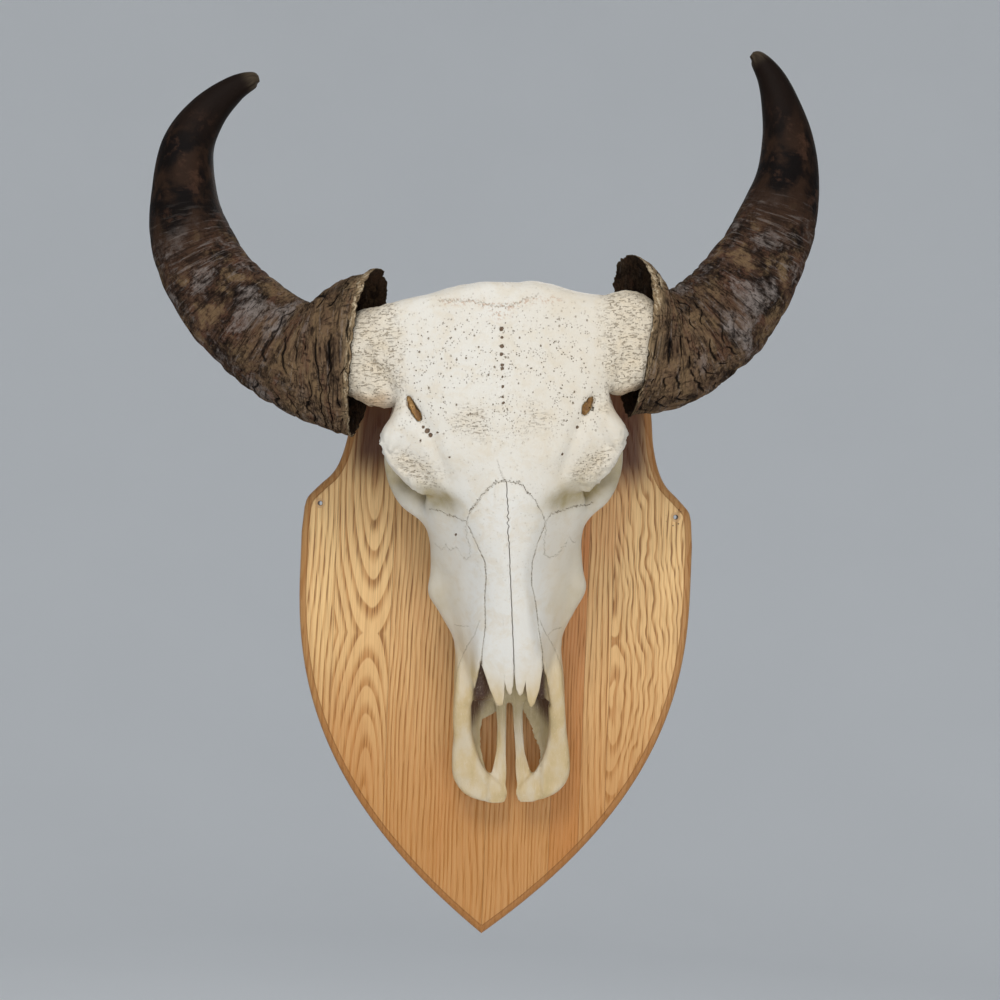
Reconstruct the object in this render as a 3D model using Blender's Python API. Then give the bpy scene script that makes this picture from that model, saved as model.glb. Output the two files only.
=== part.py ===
"""Water buffalo skull with loose horn sheaths on an oak shield plaque.

The plaque hangs on a wall whose face is the plane Y = 0, and the object's front faces -Y. The origin lies
on the plaque's back, midway between its two wall-screw holes. Z is up and X runs to the right of someone who
looks at the front. Sizes are in millimetres and turn into metres where a shape is made.

The skull has a frame of its own, the one that its tables use: `across` to the right, `along` down the face
from the poll to the tip of the snout, and `height` out from the wall.
"""

import math

import bmesh
import bpy
import numpy as np
from mathutils import Matrix, Vector

MM = 0.001

# Plaque
PLAQUE_HALF_WIDTH = 202.0
PLAQUE_THICKNESS = 19.0
PLAQUE_TIP = -438.0
PLAQUE_TOP = 186.0
COVE = 7.0
SIDE_CURVE = 2.38
WALL_HOLE_SPACING = 367.0
WALL_HOLE_RADIUS = 2.5

# Skull in its place: where the poll is, and how far the snout swings to the right
POLL_PLACE = (-6.4, 215.4)
SKULL_SWING = math.radians(3.6)
REST_HEIGHT = PLAQUE_THICKNESS + 1.2
BONE_VOXEL = 3.0
BONE_FACES_KEPT = 0.0385

# Mounting screws: place along the skull and how deep each goes
SCREW_PLACES = {"mounting_screw_upper": (34.0, 62.0), "mounting_screw_lower": (312.0, 62.0)}
SCREW_RADIUS = 2.4
SCREW_HEAD_RADIUS = 4.6
SCREW_HEAD_LENGTH = 3.4
CLEARANCE = 0.35

# Skull cross-sections: along, then (across, height) from the crown of the section down to the palate
BODY_SECTIONS = (
    (-3, (0, 184), (14, 183), (28, 180), (36, 170), (34, 150), (28, 130), (14, 120), (0, 118)),
    (5, (0, 189), (30, 188), (60, 182), (70, 168), (63, 142), (50, 115), (25, 95), (0, 88)),
    (14, (0, 193), (46, 191), (98, 182), (106, 164), (76, 138), (60, 100), (35, 72), (0, 62)),
    (32, (0, 198), (50, 195), (112, 186), (118, 163), (72, 138), (62, 95), (38, 58), (0, 50)),
    (70, (0, 203), (55, 201), (108, 191), (112, 168), (68, 146), (60, 95), (36, 56), (0, 48)),
    (105, (0, 206), (55, 204), (95, 194), (99, 178), (60, 156), (52, 100), (30, 55), (0, 48)),
    (140, (0, 207), (58, 203), (102, 192), (110, 181), (55, 158), (42, 100), (26, 56), (0, 50)),
    (160, (0, 206), (58, 201), (96, 189), (104, 178), (52, 150), (40, 100), (28, 58), (0, 52)),
    (190, (0, 202), (46, 193), (70, 181), (78, 160), (60, 125), (52, 90), (40, 54), (0, 54)),
    (215, (0, 196), (36, 187), (56, 168), (78, 142), (80, 110), (66, 76), (50, 48), (0, 52)),
    (245, (0, 187), (24, 181), (46, 160), (68, 132), (75, 106), (64, 70), (52, 46), (0, 52)),
    (275, (0, 177), (20, 170), (41, 148), (62, 122), (76, 100), (63, 68), (50, 46), (0, 52)),
    (296, (0, 169), (21, 161), (40, 140), (60, 116), (79, 96), (61, 66), (50, 46), (0, 52)),
    (318, (0, 161), (23, 152), (40, 131), (54, 110), (67, 91), (55, 64), (48, 46), (0, 54)),
    (345, (0, 151), (26, 142), (39, 121), (48, 102), (54, 84), (48, 62), (42, 48), (0, 56)),
    (380, (0, 137), (27, 129), (37, 112), (46, 96), (53, 80), (45, 62), (36, 50), (0, 56)),
)

# Nasal bones as one roof: along, half width, height on the midline, height at the edge
NASAL_SECTIONS = (
    (200, 14, 201, 198),
    (228, 35, 193, 184),
    (250, 27, 186, 178),
    (270, 22, 179, 172),
    (310, 24, 164, 157),
    (350, 29, 149, 141),
    (370, 31, 141, 134),
    (392, 27, 133, 128),
    (407, 22, 128, 124),
)
NASAL_THICKNESS = 6.0
NASAL_DRIFT = 3.0
NASAL_PRONG_GAPS = ((-6, 416), (-4, 385), (1, 397), (5, 371), (9, 398), (16, 386), (21, 416))

# Right premaxilla: along, inner edge, outer edge, top, bottom; the left one is its mirror image
PREMAXILLA_SECTIONS = (
    (340, 32, 52, 120, 60),
    (374, 30, 53, 121, 56),
    (395, 36, 54, 110, 54),
    (415, 39, 56, 99, 52),
    (440, 38, 57, 85, 50),
    (460, 34, 59, 75, 49),
    (480, 25, 59, 67, 48),
    (491, 13, 56, 62, 47),
    (501, 5, 49, 59, 46),
    (508, 5, 38, 56, 46),
    (513, 7, 22, 54, 47),
)
PALATE_SHELF_SECTIONS = (
    (330, -3, 40, 66, 54),
    (370, -3, 38, 64, 53),
    (395, -3, 37, 63, 52),
    (408, -3, 38, 61, 52),
)
PALATINE_BAR_SECTIONS = (
    (398, 3, 15, 62, 52),
    (430, 4, 13, 61, 51),
    (458, 5, 14, 60, 49),
    (484, 5, 20, 60, 48),
    (500, 5, 26, 58, 48),
)

# Bars of bone on the right side: (across, along, height, radius)
CHEEK_ARCH = (
    (62, 222, 118, 13),
    (78, 209, 122, 15),
    (92, 197, 122, 15),
    (102, 181, 118, 13),
    (106, 160, 115, 12),
    (104, 136, 112, 11),
    (97, 106, 105, 10),
    (86, 76, 100, 11),
    (70, 56, 98, 14),
)
POSTORBITAL_BAR = ((103, 141, 184, 11), (110, 147, 168, 8), (110, 146, 145, 7), (105, 141, 116, 9))
BROW = ((96, 128, 190, 9), (106, 143, 187, 9), (107, 157, 184, 8), (95, 174, 180, 9), (78, 188, 174, 10))
ORBIT_FLOOR = ((60, 148, 106, 12), (72, 174, 107, 15), (78, 198, 112, 15))
PARACONDYLAR = ((44, 30, 62, 13), (43, 22, 42, 9), (41, 17, 28, 7))
CONDYLE = ((20, 14, 62, 15), (22, 2, 58, 14), (24, -4, 56, 8))
SKULL_BASE = ((0, 10, 62, 20), (0, 60, 52, 17), (0, 110, 54, 15), (0, 160, 62, 14))
PTERYGOID = ((20, 150, 62, 7), (20, 178, 44, 5), (22, 205, 56, 7))
SIDE_BARS = (CHEEK_ARCH, POSTORBITAL_BAR, BROW, ORBIT_FLOOR, PARACONDYLAR, CONDYLE, PTERYGOID)

# Hollows: centre (across, along, height) and half sizes, on the right side where `across` isn't 0
ORBIT = ((107, 168, 151), (48, 30, 27))
PALATE_VAULT = ((0, 318, 40), (32, 78, 13))
CHOANAE = ((0, 186, 66), (15, 42, 22))
BRAIN_CASE = ((0, 78, 132), (44, 56, 44))
FORAMEN_MAGNUM = ((0, 12, 92), (15, 44, 14))

# Nasal cavity: along, half width, top, bottom
NASAL_CAVITY_SECTIONS = (
    (222, 12, 158, 118),
    (262, 24, 154, 76),
    (310, 27, 142, 68),
    (350, 26, 134, 66),
    (380, 27, 124, 64),
    (402, 32, 117, 63),
    (425, 37, 112, 62),
    (446, 37, 100, 66),
)

# Cheek teeth from the front one back: length along the row
TOOTH_LENGTHS = (17, 19, 20, 25, 28, 31)
TOOTH_ROW_START = 378.0
TOOTH_SPACING = 1.5
TOOTH_ROOT_HEIGHT = 62.0
TOOTH_OUTLINE = ((-1, -0.6), (-0.6, -1), (0.6, -1), (1, -0.6), (1, 0.6), (0.6, 1), (-0.6, 1), (-1, 0.6))

# How far a sheath's rim runs on inwards at the back and at the top, as shares of its half widths. At the
# bottom of the rim only a part of the back's share is left.
LEFT_LIP = (0.33, 0.30)
RIGHT_LIP = (0.48, 0.34)
LIP_BOTTOM_PART = 0.2

# Horn cores and sheaths: (X, Z, out from the wall, half width across, half width out from the wall)
LEFT_CORE = (
    (-84, 156, 150, 42, 38),
    (-121, 150, 151, 42, 35),
    (-155, 146, 149, 38, 31),
    (-184, 142, 146, 36, 29),
    (-208, 147, 143, 34, 28),
    (-237, 163, 139, 31, 26),
    (-267, 188, 134, 26, 22),
    (-288, 216, 130, 19, 17),
    (-298, 234, 128, 9, 8),
)
RIGHT_CORE = (
    (74, 166, 150, 42, 38),
    (114, 168, 151, 42, 35),
    (146, 166, 149, 38, 31),
    (170, 168, 146, 36, 29),
    (191, 180, 143, 34, 28),
    (212, 200, 140, 31, 26),
    (232, 227, 136, 26, 22),
    (247, 256, 132, 19, 17),
    (254, 274, 130, 9, 8),
)
LEFT_SHEATH = (
    (-133, 148, 152, 79, 45),
    (-156, 144, 151, 74, 45),
    (-184, 141, 147, 62, 43),
    (-208, 146, 144, 53, 41),
    (-237, 163, 140, 50, 39),
    (-267, 188, 135, 47, 38),
    (-294, 220, 130, 43, 36),
    (-313, 259, 126, 39, 34),
    (-321, 300, 121, 32, 28),
    (-320, 345, 117, 26, 23),
    (-304, 379, 115, 19.5, 18),
    (-279, 405, 113, 13, 12.5),
    (-260, 416, 112, 8.5, 8.5),
    (-253, 418, 112, 3, 3),
)
RIGHT_SHEATH = (
    (122, 174, 152, 75, 46),
    (147, 166, 150, 63, 45),
    (167, 167, 147, 57, 43),
    (189, 179, 144, 52, 41),
    (211, 200, 141, 50, 40),
    (231, 226, 137, 47, 38),
    (249, 258, 132, 43, 36),
    (264, 299, 127, 38, 34),
    (272, 339, 122, 31, 28),
    (271, 377, 118, 25, 23),
    (263, 412, 115, 18.5, 18),
    (253, 438, 113, 13.5, 13),
    (240, 456, 112, 8.5, 8.5),
    (233, 461, 112, 3, 3),
)
SHEATH_WALLS = (5.0, 5.5, 7.0, 9.0)
CORE_GAP = 4.0
HORN_SIDES = 16
HORN_RINGS = 26
HOLLOW_RINGS = 15
LIP_STATIONS = 2.5
FULLNESS = 0.86


def clear_scene():
    """Empties the startup scene."""
    for obj in list(bpy.data.objects):
        bpy.data.objects.remove(obj, do_unlink=True)


def finish(name, colour, roughness):
    """A plain material in the piece's own colour."""
    material = bpy.data.materials.new(name)
    material.use_nodes = True
    shader = material.node_tree.nodes["Principled BSDF"]
    shader.inputs["Base Color"].default_value = (*colour, 1.0)
    shader.inputs["Roughness"].default_value = roughness
    shader.inputs["Metallic"].default_value = 0.0
    return material


def add_object(name, shape, material=None):
    """Puts a bmesh into the scene as an object with this name."""
    bmesh.ops.recalc_face_normals(shape, faces=shape.faces)
    mesh = bpy.data.meshes.new(name)
    shape.to_mesh(mesh)
    shape.free()
    obj = bpy.data.objects.new(name, mesh)
    bpy.context.collection.objects.link(obj)
    if material:
        mesh.materials.append(material)
    return obj


def add_cutter(name, shape):
    """A hidden object that only cuts others."""
    cutter = add_object(name, shape)
    cutter.hide_render = True
    cutter.display_type = "WIRE"
    return cutter


def cut(obj, cutter):
    """Takes the cutter's shape away from the object."""
    modifier = obj.modifiers.new("cut " + cutter.name, "BOOLEAN")
    modifier.operation = "DIFFERENCE"
    modifier.object = cutter


def loft(shape, rings):
    """Adds one closed body to the bmesh: a skin over the rings, with a flat cap at each end."""
    loops = [[shape.verts.new(point) for point in ring] for ring in rings]
    count = len(loops[0])
    for near, far in zip(loops, loops[1:]):
        for i in range(count):
            j = (i + 1) % count
            shape.faces.new((near[i], near[j], far[j], far[i]))
    shape.faces.new(loops[0])
    shape.faces.new(loops[-1][::-1])


def eased(table, stations):
    """Rows of the table at evenly spaced steps, along a Catmull-Rom curve through its own rows."""
    rows = np.asarray(table, float)
    padded = np.vstack([2 * rows[0] - rows[1], rows, 2 * rows[-1] - rows[-2]])
    steps = np.linspace(0, len(rows) - 1, stations)
    first = np.minimum(steps.astype(int), len(rows) - 2)
    t = (steps - first)[:, None]
    a, b, c, d = (padded[first + k] for k in range(4))
    return 0.5 * (2 * b + (c - a) * t + (2 * a - 5 * b + 4 * c - d) * t**2 + (3 * b - a - 3 * c + d) * t**3)


def skull_point(across, along, height):
    """A point of the skull's own frame, in metres, before the skull is put in its place."""
    return (across * MM, -height * MM, -along * MM)


def body_rings():
    """Rings of the cranium and face, each the mirrored half-section of the table."""
    flat = [[along, *(v for point in points for v in point)] for along, *points in BODY_SECTIONS]
    rings = []
    for row in eased(flat, 52):
        half = [(row[i], row[i + 1]) for i in range(1, len(row), 2)]
        outline = half + [(-across, height) for across, height in half[-2:0:-1]]
        rings.append([skull_point(across, row[0], height) for across, height in outline])
    return rings


def roof_rings():
    """Rings of the nasal bones: a low arch with its own thickness."""
    rings = []
    for along, half_width, top, edge in eased(NASAL_SECTIONS, 26):
        span = np.linspace(-1, 1, 9)
        heights = edge + (top - edge) * (1 - span**2)
        upper = [(NASAL_DRIFT + half_width * u, h) for u, h in zip(span, heights)]
        lower = [(across, h - NASAL_THICKNESS) for across, h in upper[::-1]]
        rings.append([skull_point(across, along, h) for across, h in upper + lower])
    return rings


def bar_rings(sections, side, stations):
    """Rings of a bar whose four sides are given at each station, with its corners cut off."""
    rings = []
    for along, inner, outer, top, bottom in eased(sections, stations):
        nick_across = 0.22 * (outer - inner)
        nick_height = 0.18 * (top - bottom)
        outline = (
            (inner + nick_across, top),
            (outer - nick_across, top - nick_height),
            (outer, top - 2 * nick_height),
            (outer, bottom + nick_height),
            (outer - nick_across, bottom),
            (inner + nick_across, bottom),
            (inner, bottom + nick_height),
            (inner, top - nick_height),
        )
        rings.append([skull_point(side * across, along, height) for across, height in outline])
    return rings


def tube_rings(path, side, sides=12):
    """Rings of a round bar of bone along a curve through the path's points."""
    rows = eased(path, 4 * len(path))
    centres = [Vector(skull_point(side * a, s, h)) for a, s, h, _ in rows]
    rings = []
    for i, centre in enumerate(centres):
        ahead = centres[min(i + 1, len(centres) - 1)] - centres[max(i - 1, 0)]
        turn = ahead.to_track_quat("Z", "Y")
        radius = float(rows[i][3]) * MM
        angles = (2 * math.pi * k / sides for k in range(sides))
        rings.append([centre + turn @ (radius * Vector((math.cos(a), math.sin(a), 0))) for a in angles])
    return rings


def ball(shape, centre, half_sizes, side=1):
    """Adds an ellipsoid of the skull's frame to the bmesh."""
    across, along, height = centre
    place = Matrix.Translation(skull_point(side * across, along, height))
    size = Matrix.Diagonal((half_sizes[0] * MM, half_sizes[2] * MM, half_sizes[1] * MM, 1))
    bmesh.ops.create_icosphere(shape, subdivisions=3, radius=1, matrix=place @ size)


def add_teeth(shape, side):
    """Adds one row of cheek teeth, each a slightly tapered block that the row's curve turns."""
    along = TOOTH_ROW_START
    for length in TOOTH_LENGTHS:
        middle = along - length / 2
        across = 43 + 5 * math.sin(math.pi * (TOOTH_ROW_START - middle) / 280)
        width = 13 + 0.34 * length
        rings = []
        for height, share in ((REST_HEIGHT, 0.90), (REST_HEIGHT + 9, 1.0), (TOOTH_ROOT_HEIGHT, 0.94)):
            u_half = share * width / 2
            v_half = share * (length - TOOTH_SPACING) / 2
            corners = ((side * across + u * u_half, middle + v * v_half) for u, v in TOOTH_OUTLINE)
            rings.append([skull_point(a, s, height) for a, s in corners])
        loft(shape, rings)
        along -= length


def horn_axes(stations):
    """Centres, directions across the horn and half widths of a horn's stations, in metres."""
    rows = np.asarray(stations, float) * MM
    centres = np.column_stack([rows[:, 0], -rows[:, 2], rows[:, 1]])
    ahead = np.gradient(centres, axis=0)
    ahead /= np.linalg.norm(ahead, axis=1)[:, None]
    outward = np.array([0.0, -1.0, 0.0])
    across = np.cross(ahead, outward)
    across /= np.linalg.norm(across, axis=1)[:, None]
    return centres, ahead, across, np.cross(across, ahead), rows[:, 3], rows[:, 4]


def rounded(value, power):
    """A cosine or sine drawn out, which makes a ring's section fuller than an ellipse."""
    return math.copysign(abs(value) ** power, value)


def horn_rings(stations, steps, lip=(0.0, 0.0), before=0):
    """Rings along a horn, with the rim's lean running out over the first stations.

    `lip` is the lean at the back and at the top, and `before` is the number of stations ahead of the rim.
    """
    centres, ahead, across, outward, wide, deep = horn_axes(eased(stations, steps))
    rings = []
    for i in range(len(centres)):
        station = i * (len(stations) - 1) / (steps - 1) - before
        fading = min(1.0, max(0.0, 1 - station / LIP_STATIONS))
        up = math.copysign(1.0, across[i][2])
        ring = []
        for k in range(HORN_SIDES):
            angle = 2 * math.pi * k / HORN_SIDES
            out_offset = deep[i] * rounded(math.sin(angle), FULLNESS)
            across_offset = wide[i] * rounded(math.cos(angle), FULLNESS)
            height = 0.5 + 0.5 * up * across_offset / wide[i]
            back_part = LIP_BOTTOM_PART + (1 - LIP_BOTTOM_PART) * height
            lean = fading * (lip[0] * back_part * out_offset - lip[1] * up * across_offset)
            point = centres[i] + across[i] * across_offset + outward[i] * out_offset + ahead[i] * lean
            ring.append(tuple(point))
        rings.append(ring)
    return rings


def cavity_rings():
    """Rings of the nasal cavity: ovals that follow the roof of the nose."""
    rings = []
    for along, half_width, top, bottom in eased(NASAL_CAVITY_SECTIONS, 20):
        middle, half_height = (top + bottom) / 2, (top - bottom) / 2
        angles = (2 * math.pi * k / 16 for k in range(16))
        outline = [(half_width * math.cos(a), middle + half_height * math.sin(a)) for a in angles]
        rings.append([skull_point(across, along, height) for across, height in outline])
    return rings


def place_skull(obj):
    """Moves an object from the skull's own frame to where the skull hangs."""
    obj.location = (POLL_PLACE[0] * MM, 0, POLL_PLACE[1] * MM)
    obj.rotation_euler = (0, -SKULL_SWING, 0)


def in_skull_frame(rings):
    """Points of the world, seen from the skull's own frame."""
    place = Matrix.Translation((POLL_PLACE[0] * MM, 0, POLL_PLACE[1] * MM))
    back = (place @ Matrix.Rotation(-SKULL_SWING, 4, "Y")).inverted()
    return [[tuple(back @ Vector(point)) for point in ring] for ring in rings]


def bone_hollows():
    """Everything open in the skull: orbits, nasal cavity, palate vault and choanae."""
    shape = bmesh.new()
    for side in (-1, 1):
        ball(shape, *ORBIT, side)
    for hollow in (PALATE_VAULT, CHOANAE):
        ball(shape, *hollow)
    loft(shape, cavity_rings())
    cutter = add_cutter("skull_hollows", shape)
    place_skull(cutter)
    return cutter


def brain_case():
    """The brain's room and the foramen magnum that opens it at the back of the skull."""
    shape = bmesh.new()
    ball(shape, *BRAIN_CASE)
    room = add_cutter("brain_case", shape)
    place_skull(room)
    opening_shape = bmesh.new()
    ball(opening_shape, *FORAMEN_MAGNUM)
    opening = add_cutter("foramen_magnum", opening_shape)
    place_skull(opening)
    join = room.modifiers.new("foramen magnum", "BOOLEAN")
    join.operation = "UNION"
    join.object = opening
    return room


def nasal_notches():
    """What is missing between the four prongs of the nasal bones, as one comb-shaped cutter."""
    shape = bmesh.new()
    loft(shape, [[skull_point(a, s, height) for a, s in NASAL_PRONG_GAPS] for height in (150, 100)])
    cutter = add_cutter("nasal_notches", shape)
    place_skull(cutter)
    return cutter


def screw_axis(along):
    """Where a mounting screw on the skull's midline meets the wall plane, in metres."""
    across = POLL_PLACE[0] + along * math.sin(SKULL_SWING)
    up = POLL_PLACE[1] - along * math.cos(SKULL_SWING)
    return across * MM, up * MM


def rod(shape, along, radius, start, end, sides=12):
    """Adds a round rod that stands out from the wall at a mounting screw."""
    across, up = screw_axis(along)
    place = Matrix.Translation((across, -(start + end) / 2 * MM, up)) @ Matrix.Rotation(math.pi / 2, 4, "X")
    bmesh.ops.create_cone(
        shape, cap_ends=True, segments=sides, radius1=radius * MM, radius2=radius * MM,
        depth=(end - start) * MM, matrix=place,
    )


def screw_holes():
    """Cutters for the mounting screws: the shank holes and the pockets for their heads."""
    shanks, pockets = bmesh.new(), bmesh.new()
    for along, depth in SCREW_PLACES.values():
        rod(shanks, along, SCREW_RADIUS + CLEARANCE, -2, depth + CLEARANCE)
        rod(pockets, along, SCREW_HEAD_RADIUS + CLEARANCE, -2, SCREW_HEAD_LENGTH + 1 + CLEARANCE)
    return add_cutter("screw_shanks", shanks), add_cutter("screw_pockets", pockets)


def make_skull(material, shanks):
    """The bone: overlapping masses that are grown together, hollowed, smoothed and thinned out."""
    shape = bmesh.new()
    loft(shape, body_rings())
    loft(shape, roof_rings())
    for side in (-1, 1):
        loft(shape, bar_rings(PREMAXILLA_SECTIONS, side, 30))
        loft(shape, bar_rings(PALATE_SHELF_SECTIONS, side, 8))
        loft(shape, bar_rings(PALATINE_BAR_SECTIONS, side, 14))
        add_teeth(shape, side)
        for path in SIDE_BARS:
            loft(shape, tube_rings(path, side))
    loft(shape, tube_rings(SKULL_BASE, 1))
    for core in (LEFT_CORE, RIGHT_CORE):
        loft(shape, in_skull_frame(horn_rings(core, 24)))
    skull = add_object("skull", shape, material)
    place_skull(skull)
    grow = skull.modifiers.new("grown together", "REMESH")
    grow.mode = "VOXEL"
    grow.voxel_size = BONE_VOXEL * MM
    cut(skull, bone_hollows())
    cut(skull, brain_case())
    again = skull.modifiers.new("one skin", "REMESH")
    again.mode = "VOXEL"
    again.voxel_size = BONE_VOXEL * MM
    cut(skull, nasal_notches())
    soften = skull.modifiers.new("soften", "SMOOTH")
    soften.factor = 0.5
    soften.iterations = 4
    thin = skull.modifiers.new("fewer faces", "DECIMATE")
    thin.ratio = BONE_FACES_KEPT
    thin.use_collapse_triangulate = True
    cut(skull, shanks)
    return skull


def hollow_stations(stations, core):
    """The sheath's hollow: its own wall in from the outside near the base, then a gap round the core."""
    rows = [(*row[:3], row[3] - wall, row[4] - wall) for row, wall in zip(stations, SHEATH_WALLS)]
    rows += [(*row[:3], row[3] + CORE_GAP, row[4] + CORE_GAP) for row in core[5:]]
    mouth_way = np.subtract(rows[0], rows[1])[:3]
    tip_way = np.subtract(rows[-1], rows[-2])[:3]
    mouth = (*(rows[0][:3] + mouth_way), rows[0][3] + 1, rows[0][4] + 1)
    tip = (*(rows[-1][:3] + 0.3 * tip_way), rows[-1][3] - 4, rows[-1][4] - 4)
    return [mouth, *rows, tip]


def make_sheath(name, stations, core, lip, material):
    """A hollow horn: the outer skin, less a hollow that clears the core and opens at the base."""
    shape = bmesh.new()
    loft(shape, horn_rings(stations, HORN_RINGS, lip))
    sheath = add_object(name, shape, material)
    hollow = bmesh.new()
    loft(hollow, horn_rings(hollow_stations(stations, core), HOLLOW_RINGS, lip, before=1))
    cut(sheath, add_cutter(name + "_hollow", hollow))
    return sheath


def plaque_outline():
    """The shield's outline, right half then left: top, shoulder, hollow neck, ear, long side and point."""
    half = PLAQUE_HALF_WIDTH
    outline = [(60, PLAQUE_TOP - 3), (110, PLAQUE_TOP - 14), (138, PLAQUE_TOP - 34)]
    outline += [(151, 128), (155, 100), (158, 72), (164, 48), (172, 32), (184, 20), (196, 7), (200, -6)]
    side_angles = np.linspace(0.06, 1, 18)
    for share in side_angles:
        drop = share * (PLAQUE_TIP + 10)
        outline.append((half * (1 - max(0.0, (share - 0.16) / 0.84) ** SIDE_CURVE), drop - 10 * share))
    outline[-1] = (0, PLAQUE_TIP)
    mirrored = [(-x, z) for x, z in outline[-2::-1]]
    return outline + mirrored + [(0, PLAQUE_TOP)]


def make_plaque(material, shanks, pockets):
    """The oak board: the extruded outline with a cove round its front edge, and its screw holes."""
    shape = bmesh.new()
    base = shape.faces.new([shape.verts.new((x * MM, 0, z * MM)) for x, z in plaque_outline()])
    grown = bmesh.ops.extrude_face_region(shape, geom=[base])["geom"]
    front = [item for item in grown if isinstance(item, bmesh.types.BMVert)]
    bmesh.ops.translate(shape, verts=front, vec=(0, -PLAQUE_THICKNESS * MM, 0))
    rim = [edge for edge in shape.edges if all(vert in front for vert in edge.verts)]
    bmesh.ops.bevel(
        shape, geom=rim, offset=COVE * MM, segments=3, profile=0.25, affect="EDGES", clamp_overlap=True
    )
    plaque = add_object("shield_plaque", shape, material)
    wall_holes = bmesh.new()
    turn = Matrix.Rotation(math.pi / 2, 4, "X")
    for side in (-1, 1):
        place = Matrix.Translation((side * WALL_HOLE_SPACING / 2 * MM, 0, 0)) @ turn
        bmesh.ops.create_cone(
            wall_holes, cap_ends=True, segments=12, radius1=WALL_HOLE_RADIUS * MM,
            radius2=WALL_HOLE_RADIUS * MM, depth=0.06, matrix=place,
        )
    for cutter in (add_cutter("wall_holes", wall_holes), shanks, pockets):
        cut(plaque, cutter)
    return plaque


def make_screw(name, along, depth, material):
    """A mounting screw: a shank with a cylindrical head that sits below the plaque's back."""
    shape = bmesh.new()
    rod(shape, along, SCREW_HEAD_RADIUS, 1, 1 + SCREW_HEAD_LENGTH)
    screw = add_object(name, shape, material)
    shank_shape = bmesh.new()
    rod(shank_shape, along, SCREW_RADIUS, 2, depth)
    shank = add_cutter(name + "_shank", shank_shape)
    join = screw.modifiers.new("shank", "BOOLEAN")
    join.operation = "UNION"
    join.object = shank
    return screw


def main():
    clear_scene()
    bone = finish("bone", (0.83, 0.79, 0.70), 0.55)
    horn = finish("horn", (0.075, 0.055, 0.042), 0.42)
    oak = finish("oak", (0.60, 0.34, 0.14), 0.35)
    steel = finish("zinc_plated_steel", (0.55, 0.55, 0.53), 0.35)
    shanks, pockets = screw_holes()
    make_skull(bone, shanks)
    make_sheath("horn_sheath_left", LEFT_SHEATH, LEFT_CORE, LEFT_LIP, horn)
    make_sheath("horn_sheath_right", RIGHT_SHEATH, RIGHT_CORE, RIGHT_LIP, horn)
    make_plaque(oak, shanks, pockets)
    for name, (along, depth) in SCREW_PLACES.items():
        make_screw(name, along, depth, steel)


main()
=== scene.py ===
"""Looks of the water buffalo skull: bone, horn sheaths, oak shield and screws, dressed over the solids.

The frame's wall plane is Y = 0 and the front faces -Y. The skull has a frame of its own, in millimetres:
`across` to the right, `along` down the face from the poll to the snout, `height` out from the wall. Each
shape's tables are in millimetres too, and turn into metres when its mesh is made. The oak's figure is in
metres, because its shader reads Object coordinates.
"""

import logging
import math
from dataclasses import dataclass, field
from enum import Enum
from typing import Any

import bpy
import numpy as np
from mathutils import Matrix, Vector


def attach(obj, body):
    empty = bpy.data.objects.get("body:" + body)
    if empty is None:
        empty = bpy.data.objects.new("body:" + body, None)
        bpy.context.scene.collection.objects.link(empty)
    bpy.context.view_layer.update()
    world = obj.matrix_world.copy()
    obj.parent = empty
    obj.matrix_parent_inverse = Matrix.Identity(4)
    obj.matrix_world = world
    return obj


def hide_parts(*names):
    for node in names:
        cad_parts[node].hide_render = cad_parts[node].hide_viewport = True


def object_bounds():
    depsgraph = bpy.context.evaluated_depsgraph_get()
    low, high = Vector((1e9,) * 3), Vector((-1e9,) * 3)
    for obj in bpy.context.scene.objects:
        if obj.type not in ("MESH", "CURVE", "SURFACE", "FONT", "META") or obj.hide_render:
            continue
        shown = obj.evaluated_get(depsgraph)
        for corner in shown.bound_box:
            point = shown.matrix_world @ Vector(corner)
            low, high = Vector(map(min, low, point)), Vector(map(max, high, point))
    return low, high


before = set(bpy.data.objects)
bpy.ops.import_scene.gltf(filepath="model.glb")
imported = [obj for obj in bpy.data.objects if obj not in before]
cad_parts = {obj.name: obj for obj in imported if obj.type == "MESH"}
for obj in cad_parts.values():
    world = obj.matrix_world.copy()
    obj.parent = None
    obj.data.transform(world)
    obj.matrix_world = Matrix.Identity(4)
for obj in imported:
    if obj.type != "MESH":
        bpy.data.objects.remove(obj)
CAD_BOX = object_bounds()

LOG = logging.getLogger("buffalo_skull")
MM = 0.001
ROOT = "root"
HASH_AXES = np.array([73856093, 19349663, 83492791], np.uint64)
HASH_STEPS = (np.uint64(2654435761), np.uint64(2246822519))
HASH_BITS = np.uint64(0xFFFFFFFF)

Array = np.ndarray
Triple = tuple[float, float, float]


class Slot(Enum):
    """The record's material slots."""

    BONE = "bone"
    HORN = "horn"
    OAK = "oak"
    STEEL = "screw_steel"


class Side(Enum):
    """Left and right as someone sees them who looks at the front."""

    LEFT = -1
    RIGHT = 1


# Curves, noise and meshes


def eased(table: Any, stations: int) -> Array:
    """Rows of a table at even steps, along a Catmull-Rom curve through its own rows.

    Args:
        table: rows of numbers.
        stations: how many rows come back.

    Returns:
        The interpolated rows.
    """
    rows = np.asarray(table, float)
    padded = np.vstack([2 * rows[0] - rows[1], rows, 2 * rows[-1] - rows[-2]])
    steps = np.linspace(0, len(rows) - 1, stations)
    first = np.minimum(steps.astype(int), len(rows) - 2)
    t = (steps - first)[:, None]
    a, b, c, d = (padded[first + k] for k in range(4))
    return 0.5 * (2 * b + (c - a) * t + (2 * a - 5 * b + 4 * c - d) * t**2 + (3 * b - a - 3 * c + d) * t**3)


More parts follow.
